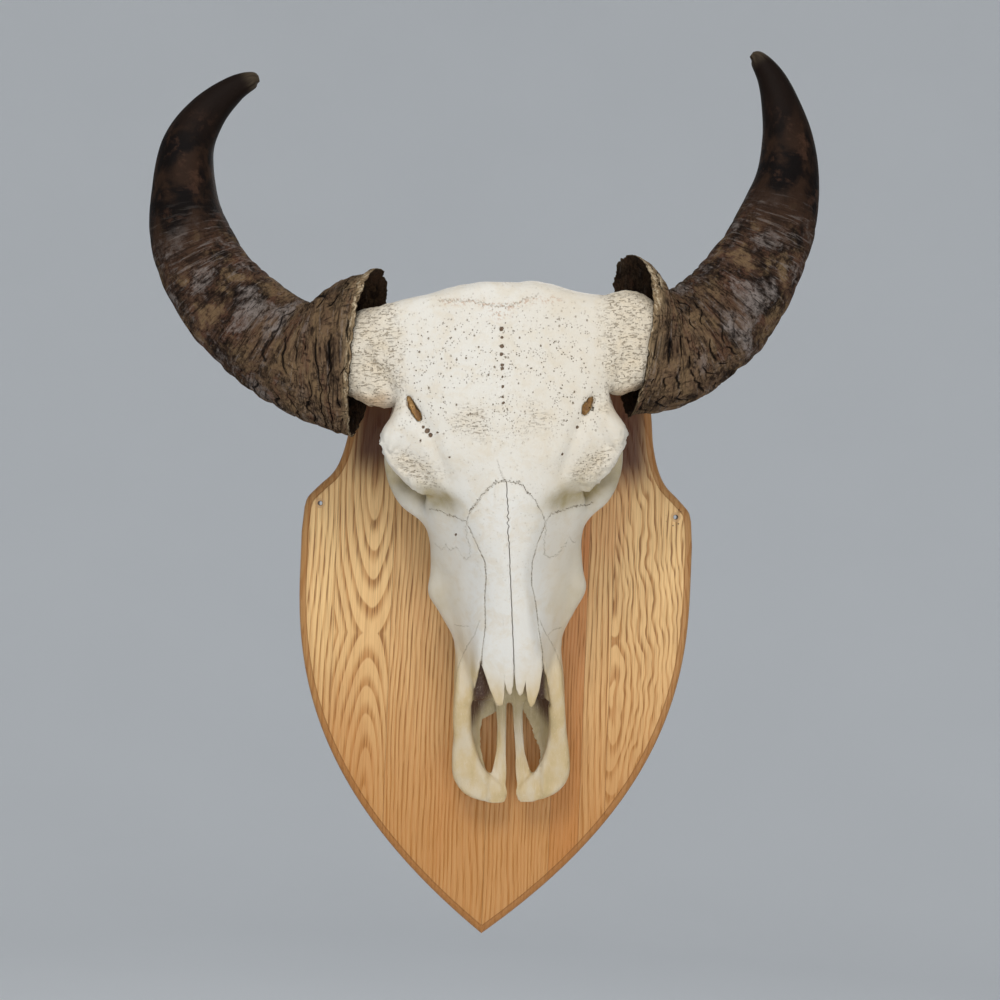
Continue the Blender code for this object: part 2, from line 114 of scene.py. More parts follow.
def eased_ring(corners: Array, steps: int) -> Array:
    """A closed Catmull-Rom curve through the corners, with `steps` points from each corner to the next.

    Args:
        corners: points of the ring, in order.
        steps: points per corner.

    Returns:
        The points of the smooth ring.
    """
    t = (np.arange(steps) / steps)[None, :, None]
    a, b, c, d = (np.roll(corners, 1 - k, axis=0)[:, None, :] for k in range(4))
    ring = 0.5 * (2 * b + (c - a) * t + (2 * a - 5 * b + 4 * c - d) * t**2 + (3 * b - a - 3 * c + d) * t**3)
    return ring.reshape(-1, corners.shape[1])


def ramp(value: Array, low: float, high: float) -> Array:
    """A smooth step from 0 at `low` to 1 at `high`, 3t^2 - 2t^3."""
    t = np.clip((value - low) / (high - low), 0.0, 1.0)
    return t * t * (3 - 2 * t)


def lattice_noise(points: Array, seed: int) -> Array:
    """Smooth noise from -1 to 1: random numbers at whole-number corners, blended by 6t^5 - 15t^4 + 10t^3.

    Args:
        points: places as rows of three numbers, one unit per noise cell.
        seed: chooses the pattern.

    Returns:
        One number per point.
    """
    cell = np.floor(points).astype(np.int64)
    f = points - cell
    w = f * f * f * (f * (f * 6 - 15) + 10)
    total = np.zeros(len(points))
    for corner in range(8):
        bits = np.array([corner & 1, corner >> 1 & 1, corner >> 2 & 1])
        at = (cell + bits).astype(np.uint64) * HASH_AXES
        mixed = at[:, 0] ^ at[:, 1] ^ at[:, 2]
        mixed = (mixed + np.uint64(seed * 7919 + 13)) * HASH_STEPS[0] & HASH_BITS
        mixed = (mixed ^ mixed >> np.uint64(15)) * HASH_STEPS[1] & HASH_BITS
        value = (mixed ^ mixed >> np.uint64(13)).astype(float) / float(HASH_BITS) * 2 - 1
        total += np.prod(np.where(bits, w, 1 - w), axis=1) * value
    return total


def layered_noise(points: Array, seed: int, layers: int = 3) -> Array:
    """Noise with finer layers, each twice as fine and half as strong, scaled back to about -1 to 1."""
    parts = [lattice_noise(points * 2**k, seed + k) * 0.5**k for k in range(layers)]
    return sum(parts) / sum(0.5**k for k in range(layers)) * 1.6


def grid_faces(rows: int, columns: int, closed: bool) -> Array:
    """Quads between neighbouring rows and columns of a grid of points, numbered row by row.

    Args:
        rows: number of rows.
        columns: number of columns.
        closed: whether the last column joins the first.

    Returns:
        The quads as rows of four indices.
    """
    i = np.arange(rows - 1)[:, None]
    j = np.arange(columns if closed else columns - 1)[None, :]
    k = (j + 1) % columns
    here, below = i * columns, (i + 1) * columns
    quads = np.stack([here + j, here + k, below + k, below + j], axis=-1)
    return quads.reshape(-1, 4)


def point_normals(points: Array, quads: Array) -> Array:
    """Unit normals at the points: the mean of the quads' own normals, each the cross of its diagonals."""
    across = np.cross(points[quads[:, 2]] - points[quads[:, 0]], points[quads[:, 3]] - points[quads[:, 1]])
    total = np.stack(
        [np.bincount(quads.ravel(), np.repeat(across[:, k], 4), len(points)) for k in range(3)], axis=1
    )
    return total / np.maximum(np.linalg.norm(total, axis=1), 1e-12)[:, None]


def signed_volume(points: Array, quads: Array) -> float:
    """Volume inside the quads, negative where they face inwards: a sixth of the sum of triple products."""
    a, b, c, d = (points[quads[:, k]] for k in range(4))
    return float((np.cross(a, b) * c).sum() + (np.cross(a, c) * d).sum()) / 6


@dataclass
class Shape:
    """A closed surface in millimetres: its points, its quads and what its material reads at each point."""

    points: Array
    quads: Array
    marks: dict[str, Array] = field(default_factory=dict)

    @staticmethod
    def joined(shapes: list["Shape"]) -> "Shape":
        """Several surfaces as one, in order, with the marks that all of them have."""
        starts = np.cumsum([0] + [len(s.points) for s in shapes[:-1]])
        names = set.intersection(*(set(s.marks) for s in shapes))
        return Shape(
            np.vstack([s.points for s in shapes]),
            np.vstack([s.quads + start for s, start in zip(shapes, starts)]),
            {name: np.concatenate([s.marks[name] for s in shapes]) for name in sorted(names)},
        )


def tube(rings: Array, marks: dict[str, Array] | None = None) -> Shape:
    """A closed skin over rings of points, with each end drawn together into a pole at its ring's middle.

    Args:
        rings: points as (ring, place round the ring, xyz).
        marks: numbers or vectors for each ring and place.

    Returns:
        The surface. Its poles are quads with two corners at the pole.
    """
    count, around = rings.shape[:2]
    points = np.vstack([rings.reshape(-1, 3), rings[0].mean(axis=0), rings[-1].mean(axis=0)])
    j = np.arange(0, around, 2)
    k, m = (j + 1) % around, (j + 2) % around
    last = (count - 1) * around
    near = np.stack([np.full_like(j, count * around), m, k, j], axis=1)
    far = np.stack([np.full_like(j, count * around + 1), last + j, last + k, last + m], axis=1)
    full = {}
    for name, values in (marks or {}).items():
        flat = values.reshape(count * around, -1)
        full[name] = np.vstack([flat, flat[:around].mean(axis=0), flat[-around:].mean(axis=0)])
    return Shape(points, np.vstack([grid_faces(count, around, True), near, far]), full)


def slab(top: Array, bottom: Array, marks: dict[str, Array] | None = None) -> Shape:
    """A closed sheet from its upper and lower grids of points, whose borders are joined by a strip."""
    rows, columns = top.shape[:2]
    size = rows * columns
    faces = grid_faces(rows, columns, False)
    index = np.arange(size).reshape(rows, columns)
    border = np.concatenate([index[0, :-1], index[:-1, -1], index[-1, :0:-1], index[:0:-1, 0]])
    after = np.roll(border, -1)
    strip = np.stack([border, border + size, after + size, after], axis=1)
    points = np.vstack([top.reshape(-1, 3), bottom.reshape(-1, 3)])
    full = {name: np.vstack([values.reshape(size, -1)] * 2) for name, values in (marks or {}).items()}
    return Shape(points, np.vstack([faces, faces[:, ::-1] + size, strip]), full)


def add_piece(
    name: str, shape: Shape, material: bpy.types.Material, node: str
) -> bpy.types.Object:
    """Puts a surface into the scene as one piece of the object, at the origin and facing outwards.

    Points that stand out of the CAD box by a fraction of a millimetre are drawn back to it.

    Args:
        name: the piece's name.
        shape: its surface in the row frame, in millimetres.
        material: its finish.
        node: the CAD node that it stands for.

    Returns:
        The new object.
    """
    quads = shape.quads if signed_volume(shape.points, shape.quads) > 0 else shape.quads[:, ::-1]
    places = np.clip(shape.points * MM, np.array(CAD_BOX[0]), np.array(CAD_BOX[1]))
    mesh = bpy.data.meshes.new(name)
    mesh.vertices.add(len(places))
    mesh.vertices.foreach_set("co", places.astype(np.float32).ravel())
    mesh.loops.add(quads.size)
    mesh.polygons.add(len(quads))
    mesh.polygons.foreach_set("loop_start", np.arange(0, quads.size, 4, dtype=np.int32))
    mesh.loops.foreach_set("vertex_index", quads.astype(np.int32).ravel())
    mesh.update(calc_edges=True)
    mesh.polygons.foreach_set("use_smooth", np.ones(len(quads), bool))
    for mark, values in shape.marks.items():
        wide = values.reshape(len(shape.points), -1)
        kind, key = ("FLOAT", "value") if wide.shape[1] == 1 else ("FLOAT_VECTOR", "vector")
        mesh.attributes.new(mark, kind, "POINT").data.foreach_set(key, wide.astype(np.float32).ravel())
    mesh.materials.append(material)
    piece = bpy.data.objects.new(name, mesh)
    bpy.context.collection.objects.link(piece)
    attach(piece, ROOT)
    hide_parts(node)
    LOG.info("%s: %d triangles", name, 2 * len(quads))
    return piece


# Shader maths


@dataclass
class Socket:
    """A shader value. Used in an expression, it adds the Math nodes that the expression needs."""

    tree: "Shader"
    link: bpy.types.NodeSocket

    def _math(self, operation: str, *values: Any) -> "Socket":
        """One Math node on these values."""
        return self.tree.node("ShaderNodeMath", {"operation": operation}, dict(enumerate(values)))

    def __add__(self, other: Any) -> "Socket":
        """Sum."""
        return self._math("ADD", self, other)

    def __radd__(self, other: Any) -> "Socket":
        """Sum, reflected."""
        return self._math("ADD", other, self)

    def __sub__(self, other: Any) -> "Socket":
        """Difference."""
        return self._math("SUBTRACT", self, other)

    def __rsub__(self, other: Any) -> "Socket":
        """Difference, reflected."""
        return self._math("SUBTRACT", other, self)

    def __mul__(self, other: Any) -> "Socket":
        """Product."""
        return self._math("MULTIPLY", self, other)

    def __rmul__(self, other: Any) -> "Socket":
        """Product, reflected."""
        return self._math("MULTIPLY", other, self)

    def __truediv__(self, other: Any) -> "Socket":
        """Quotient."""
        return self._math("DIVIDE", self, other)

    def __pow__(self, other: Any) -> "Socket":
        """Power."""
        return self._math("POWER", self, other)

    def __abs__(self) -> "Socket":
        """Size without its sign."""
        return self._math("ABSOLUTE", self)

    def least(self, other: Any) -> "Socket":
        """The smaller of the two."""
        return self._math("MINIMUM", self, other)

    def most(self, other: Any) -> "Socket":
        """The larger of the two."""
        return self._math("MAXIMUM", self, other)

    def part(self) -> "Socket":
        """What is left after the whole number."""
        return self._math("FRACT", self)

    def step(self, low: float, high: float) -> "Socket":
        """A smooth step from 0 at `low` to 1 at `high`. `low` may be the larger one."""
        settings = {"interpolation_type": "SMOOTHSTEP"}
        if low < high:
            return self.tree.node("ShaderNodeMapRange", settings, {"Value": self, 1: low, 2: high})
        values = {"Value": self, 1: high, 2: low, 3: 1.0, 4: 0.0}
        return self.tree.node("ShaderNodeMapRange", settings, values)


class Shader:
    """A material's node tree, with short ways to add to it."""

    def __init__(self, name: str) -> None:
        """Makes the material with a bare Principled shader."""
        self.material = bpy.data.materials.new(name)
        self.material.use_nodes = True
        self.nodes = self.material.node_tree.nodes
        self.principled = self.nodes["Principled BSDF"]

    def node(self, kind: str, settings: dict[str, Any], inputs: dict[Any, Any], output: Any = 0) -> Socket:
        """Adds a node.

        Args:
            kind: the node's type.
            settings: its properties, set first.
            inputs: values, colours or sockets, by the input's name or number.
            output: the name or number of the output that comes back.

        Returns:
            The output, ready for expressions.
        """
        made = self.nodes.new(kind)
        for key, value in settings.items():
            setattr(made, key, value)
        for key, value in inputs.items():
            self.feed(made.inputs[key], value)
        return Socket(self, made.outputs[output])

    def feed(self, target: bpy.types.NodeSocket, value: Any) -> None:
        """Links a socket or sets a value on an input."""
        if isinstance(value, Socket):
            self.material.node_tree.links.new(value.link, target)
        elif isinstance(value, tuple) and target.type == "RGBA":
            target.default_value = (*value, 1.0)
        else:
            target.default_value = value

    def place(self) -> Socket:
        """Object coordinates, in metres."""
        return self.node("ShaderNodeTexCoord", {}, {}, "Object")

    def mark(self, name: str, vector: bool = False) -> Socket:
        """A number or vector that the mesh carries at its points."""
        return self.node("ShaderNodeAttribute", {"attribute_name": name}, {}, "Vector" if vector else "Fac")

    def axis(self, vector: Socket, which: int) -> Socket:
        """One of a vector's three numbers."""
        return self.node("ShaderNodeSeparateXYZ", {}, {0: vector}, which)

    def stretch(self, vector: Socket, scale: Triple) -> Socket:
        """The vector scaled along each axis: a pattern grows longer where the scale is under 1."""
        settings = {"vector_type": "POINT"}
        return self.node("ShaderNodeMapping", settings, {"Vector": vector, "Scale": scale})

    def noise(
        self, vector: Socket, scale: float, detail: float = 3.0, rough: float = 0.5, bend: float = 0.0
    ) -> Socket:
        """Noise from 0 to 1."""
        inputs = {"Vector": vector, "Scale": scale, "Detail": detail, "Roughness": rough, "Distortion": bend}
        return self.node("ShaderNodeTexNoise", {}, inputs)

    def cells(self, vector: Socket, scale: float, output: str = "Distance") -> Socket:
        """Cells scattered in space: the distance to the nearest one's middle, or its random colour."""
        return self.node("ShaderNodeTexVoronoi", {}, {"Vector": vector, "Scale": scale}, output)

    def curve(self, value: Socket, table: Any) -> Socket:
        """A number read off a line through a table's points, from the value on the table's first axis.

        Args:
            value: where to read.
            table: rows of (place, reading), in rising order of place.

        Returns:
            The reading.
        """
        places, readings = np.array(table, float).T
        low, high = readings.min() - 1.0, readings.max() + 1.0
        start, end = places[0], places[-1]
        made = self.nodes.new("ShaderNodeFloatCurve")
        line = made.mapping.curves[0]
        for _ in range(len(places) - 2):
            line.points.new(0.5, 0.5)
        made.mapping.update()
        for point, place, reading in zip(line.points, places, readings):
            point.location = ((place - start) / (end - start), (reading - low) / (high - low))
            point.handle_type = "VECTOR"
        made.mapping.update()
        self.feed(made.inputs["Value"], (value - start) / (end - start))
        return Socket(self, made.outputs[0]) * (high - low) + low

    def mix(self, factor: Any, first: Any, second: Any) -> Socket:
        """Two colours mixed by a factor from 0 to 1."""
        settings = {"data_type": "RGBA", "clamp_factor": True}
        return self.node("ShaderNodeMix", settings, {0: factor, 6: first, 7: second}, 2)

    def finish(self, colour: Socket, roughness: Any, height: Socket, depth: float) -> bpy.types.Material:
        """Feeds the shader.

        Args:
            colour: base colour.
            roughness: a socket or a number.
            height: relief in units of `depth`.
            depth: how deep one unit of relief is, in metres.

        Returns:
            The finished material.
        """
        self.feed(self.principled.inputs["Base Color"], colour)
        self.feed(self.principled.inputs["Roughness"], roughness)
        bump = self.node("ShaderNodeBump", {}, {"Strength": 1.0, "Distance": depth, "Height": height})
        self.feed(self.principled.inputs["Normal"], bump)
        return self.material


@dataclass(frozen=True)
class Suture:
    """A seam of the skull: a line of (place on one axis, reading on the other).

    `run_axis` is the axis that the line runs along: 0 for across, 1 for along. `wander` is how far the seam
    strays from its line, and `strength` is how dark it is.
    """

    run_axis: int
    line: tuple
    half_width: float = 0.75
    wander: float = 3.0
    strength: float = 0.8


NASAL_LEFT = (
    (188, -36), (229, -36), (250, -27), (265, -20.5), (282, -20), (299, -22), (327, -22), (354, -26),
    (366, -26.6), (412, -26.6),
)
NASAL_RIGHT = (
    (188, 38), (230, 38), (246, 31), (266, 25), (287, 24), (307, 28), (332, 30), (355, 33.5),
    (371, 33.2), (412, 33.2),
)

SUTURES = (
    Suture(
        0, ((-38, 230), (-36, 221), (-34, 215), (-28, 208), (-20, 197.5), (-10, 188.5), (0, 187), (14, 188.5),
            (20, 196), (29, 207), (36, 219), (39, 230)), 0.95, 11.0, 1.0,
    ),
    Suture(0, ((-74, 212), (-69, 213), (-61, 215), (-54, 219), (-47, 220.5), (-37, 225.5)), 0.75, 6.0, 0.8),
    Suture(0, ((38, 227), (44, 219.5), (54, 217), (68, 212.5), (81, 212), (87, 209)), 0.75, 6.0, 0.8),
    Suture(
        0, ((-70, 246), (-68, 247), (-62.7, 252.6), (-58.4, 246.7), (-55.7, 252.6), (-46.6, 250.6),
            (-44, 257), (-39, 262)), 0.65, 9.0, 0.55,
    ),
    Suture(
        0, ((40, 262), (43.4, 261.5), (49.4, 260), (53.5, 255), (59.6, 248.5), (61.5, 242), (66.7, 249),
            (71, 244.5)), 0.65, 9.0, 0.5,
    ),
    Suture(
        0, ((-60, 13), (-28, 14.5), (-10, 18.5), (0.5, 21.5), (13, 19.5), (23.5, 14), (36, 11)),
        0.9, 10.0, 0.5,
    ),
    Suture(0, ((-54, 327.5), (-46, 329), (-38, 328)), 0.45, 4.0, 0.5),
    Suture(0, ((39, 338.5), (46, 334), (54, 333)), 0.45, 4.0, 0.5),
    Suture(
        1, ((225, -37), (232, -38.1), (240, -37.4), (250, -34.8), (259, -35.6), (263, -40)), 0.6, 6.0, 0.5,
    ),
    Suture(1, ((227, 38), (235, 38.8), (243, 37.2), (251, 36.6), (259, 37.5), (262, 42)), 0.6, 6.0, 0.5),
    Suture(
        1, ((321, -27), (336, -32.7), (348, -40.7), (360, -46.2), (372, -51.1), (386, -53.5)), 0.6, 2.5, 0.5,
    ),
    Suture(1, ((321, 31), (336, 36.5), (348, 43.5), (360, 48.5), (372, 52.4), (386, 55)), 0.6, 2.5, 0.5),
    Suture(1, ((166, -7), (176, -4.5), (184, -0.5), (189, 0.3)), 0.4, 6.0, 0.5),
    Suture(1, ((150, -89), (158, -94.8), (166, -100)), 0.55, 5.0, 0.45),
    Suture(1, NASAL_LEFT[1:9], 0.85, 2.0, 0.8),
    Suture(1, NASAL_RIGHT[1:9], 0.75, 2.0, 0.75),
)

# The larger holes in the bone: across, along and radius, in millimetres.
HOLES = (
    (-76.3, 134.0, 1.6), (-72.4, 137.6, 2.5), (-69.4, 141.8, 2.2), (70.4, 137.4, 1.5), (-48.3, 237.6, 1.3),
    (-52.0, 163.5, 1.1), (55.5, 163.0, 1.2), (-79.0, 147.0, 1.2), (-62.5, 139.5, 1.0), (60.5, 131.0, 0.9),
    (0.2, 42.6, 2.3), (0.5, 50.9, 1.4), (0.3, 59.2, 2.1), (-0.3, 66.7, 1.8), (0.2, 77.2, 1.8),
    (0.3, 80.6, 1.6), (0.5, 88.2, 1.1), (0.3, 97.7, 1.5), (0.1, 107.6, 1.3), (0.5, 113.3, 1.3),
)


@dataclass(frozen=True)
class BoneFinish:
    """Bleached bone: warm white on the dome, bluish on the nasal bones, cream and worm-eaten by the horns,
    tan at the snout, olive and amber in the hollows."""

    white: Triple = (0.715, 0.667, 0.575)
    cool: Triple = (0.765, 0.75, 0.705)
    beige: Triple = (0.68, 0.60, 0.475)
    cream: Triple = (0.72, 0.59, 0.41)
    tan: Triple = (0.60, 0.445, 0.225)
    olive: Triple = (0.37, 0.29, 0.135)
    amber: Triple = (0.46, 0.23, 0.055)
    dirt: Triple = (0.10, 0.065, 0.035)
    # Dark red-brown for deep in the nose.
    blood: Triple = (0.075, 0.026, 0.013)
    # hole: painted shade for the middles of the larger holes, which the mesh only dents.
    hole: Triple = (0.080, 0.034, 0.013)
    slot: Triple = (0.58, 0.345, 0.12)
    slot_deep: Triple = (0.24, 0.105, 0.03)
    seam_edge: Triple = (0.27, 0.20, 0.10)
    rust: Triple = (0.42, 0.20, 0.09)
    pit: Triple = (0.22, 0.145, 0.07)
    relief: float = 0.0013

    def sutures(self, s: Shader, place: Socket) -> Socket:
        """Seams drawn together: 1 on a line, where the surface looks outwards, and 0 away from it."""
        axes = [s.axis(place, 0), s.axis(place, 1)]
        coarse = s.noise(place, 0.26, 1.0, 0.5) - 0.5
        fine = s.noise(place, 0.95, 1.0) - 0.5
        total = None
        for seam in SUTURES:
            run, other = axes[seam.run_axis], axes[1 - seam.run_axis]
            teeth = abs((run * 0.27 + coarse * 2.4).part() - 0.5) - 0.25
            jag = coarse * 0.7 + fine * 0.30 + teeth * 0.42
            first, last = seam.line[0][0], seam.line[-1][0]
            off = abs(other - s.curve(run, seam.line) + jag * seam.wander)
            line = off.step(seam.half_width, seam.half_width * 0.3)
            ends = run.step(first - 0.5, first + 1.0) * run.step(last + 0.5, last - 1.0)
            drawn = line * ends * seam.strength
            total = drawn if total is None else total.most(drawn)
        return total * s.mark("upper")

    @staticmethod
    def dots(
        s: Shader, place: Socket, scale: float, size: tuple[float, float], channel: int,
        share: tuple[float, float],
    ) -> Socket:
        """Dots in scattered cells.

        Args:
            s: the bone's shader.
            place: where the pattern is read.
            scale: cells per millimetre.
            size: how near a cell's middle a dot starts and is full.
            channel: which of a cell's three random numbers picks it.
            share: the number below which a cell has no dot, and above which it has a full one.

        Returns:
            1 in a dot and 0 away from it.
        """
        near = s.cells(place, scale).step(*size)
        return near * s.axis(s.cells(place, scale, "Color"), channel).step(*share)

    def pits(self, s: Shader, place: Socket, porous: Socket) -> Socket:
        """Small holes: ticks that lie across where the bone is porous, and vessels' holes on the dome."""
        ticks = s.noise(s.stretch(place, (0.30, 1.0, 0.8)), 0.62, 2.0, 0.6, 0.5)
        tick = ticks.step(0.56, 0.63) * porous.step(0.12, 0.70)
        pore = self.dots(s, place, 0.34, (0.27, 0.09), 0, (0.30, 0.65)) * porous.step(0.08, 0.5)
        tall = s.stretch(place, (1.0, 0.72, 1.0))
        hole = self.dots(s, tall, 0.155, (0.17, 0.07), 1, (0.35, 0.60))
        dot = self.dots(s, place, 0.25, (0.22, 0.09), 2, (0.35, 0.70))
        faint = self.dots(s, place, 0.42, (0.30, 0.12), 2, (0.40, 0.80))
        specks = s.mark("specks")
        small = (tick * 0.66).most(pore * 0.85).most(dot * specks * 0.90).most(faint * specks * 0.58)
        return small.most(hole * specks * 0.9)

    def holes(self, s: Shader, place: Socket) -> Socket:
        """The larger holes: 1 inside one, where the surface looks outwards, and 0 away from them."""
        jitter = s.noise(place, 0.40, 2.0) - 0.5
        x, y = s.axis(place, 0) + jitter * 2.8, s.axis(place, 1) - jitter * 2.0
        total = None
        for across, along, radius in HOLES:
            off = ((x - across) ** 2.0 + (y - along) ** 2.0) ** 0.5
            hole = off.step(radius + 0.15, radius - 0.75)
            total = hole if total is None else total.most(hole)
        return total * s.mark("upper")

    def material(self) -> bpy.types.Material:
        """Colours and relief follow the mesh's marks.

        `skull_place` is a point's place in the skull's frame, where the seams and larger holes are drawn.
        From 0 to 1: `upper` faces outwards, `porous` and `specks` are pitted, `seam` is an edge between two
        bones, `slot` is a brow slot, and `olive`, `amber`, `cool`, `tan`, `warm` and `rust` are colours. One
        more mark paints dark red-brown deep in the nose, darker the deeper it lies.
        """
        s = Shader("bleached_bone")
        place = s.mark("skull_place", vector=True)
        names = ("porous", "olive", "amber", "seam", "cool", "tan", "blood", "warm")
        porous, olive, amber, seam, cool, tan, blood, warm = (s.mark(name) for name in names)
        broad = s.noise(place, 0.020, 3.0)
        mottled = s.noise(place, 0.085, 4.0, 0.6)
        grain = s.noise(place, 0.9, 4.0, 0.65)
        fibre = s.noise(s.stretch(place, (1.0, 0.09, 1.0)), 0.75, 3.0, 0.6)
        clouds = s.noise(place, 0.045, 5.0, 0.68, 0.5)
        colour = s.mix(cool + (broad - 0.5) * 0.8, self.white, self.cool)
        colour = s.mix(warm * (broad * 0.8 + 0.35) + mottled.step(0.48, 0.70) * 0.34, colour, self.beige)
        colour = s.mix(clouds.step(0.48, 0.66) * 0.55 * (1 - tan), colour, self.beige)
        colour = s.mix(porous * (mottled * 0.6 + 0.16), colour, self.cream)
        drawn_out = s.noise(s.stretch(place, (1.0, 0.35, 1.0)), 0.060, 3.0)
        colour = s.mix(tan * (drawn_out.step(0.30, 0.62) * 0.42 + 0.58), colour, self.tan)
        stained = olive * (mottled * 0.9 + 0.62) + tan * drawn_out.step(0.52, 0.70) * 0.32
        colour = s.mix(stained, colour, self.olive)
        colour = s.mix(amber * (mottled * 0.8 + 0.5), colour, self.amber)
        # Dark red-brown deep in the nose, darker the deeper it lies.
        colour = s.mix(blood, colour, self.blood)
        slots = s.mark("slot") + (s.noise(place, 0.22, 2.0) - 0.5) * 0.34
        colour = s.mix(slots.step(0.50, 0.62), colour, self.slot)
        colour = s.mix(slots.step(0.60, 0.82) * mottled.step(0.40, 0.56) * 0.8, colour, self.slot_deep)
        slots = slots.step(0.45, 0.75)
        lines = self.sutures(s, place)
        broken = 0.50 + 0.65 * s.noise(place, 0.55, 2.0).step(0.42, 0.58)
        lines = (lines * broken).most(seam.step(0.30, 0.95) * 0.9)
        pits = self.pits(s, place, porous)
        colour = s.mix(lines * 0.75, colour, self.seam_edge)
        colour = s.mix(lines.step(0.55, 1.0) * 0.7, colour, self.dirt)
        rusty = s.noise(place, 0.35, 3.0, 0.6).step(0.50, 0.62) * s.mark("rust")
        colour = s.mix(rusty * 0.6, colour, self.rust)
        colour = s.mix(pits.least(1.0) * 0.86, colour, self.pit)
        colour = s.mix(pits.step(0.6, 1.0) * 0.45, colour, self.dirt)
        # The larger holes are colour over a shallow dent: an amber rim of stain, and a near-black middle that
        # is painted shade of the opening.
        holes = self.holes(s, place)
        colour = s.mix(holes.step(0.0, 0.5) * 0.6, colour, self.slot)
        colour = s.mix(holes.step(0.35, 0.9) * 0.92, colour, self.hole)
        streaks = fibre.step(0.55, 0.75) * (tan * 0.35 + 0.10)
        colour = s.mix(grain.step(0.48, 0.80) * 0.22 + streaks, colour, self.cream)
        lumps = s.noise(place, 0.33, 3.0, 0.6)
        height = grain * 0.16 + lumps * porous * 1.3 + fibre * (tan * 0.3 + 0.06)
        height = height - pits * 0.9 - lines * 0.5 - slots * 2.0 - holes * 1.6
        return s.finish(colour, 0.55 + 0.12 * porous, height, self.relief)


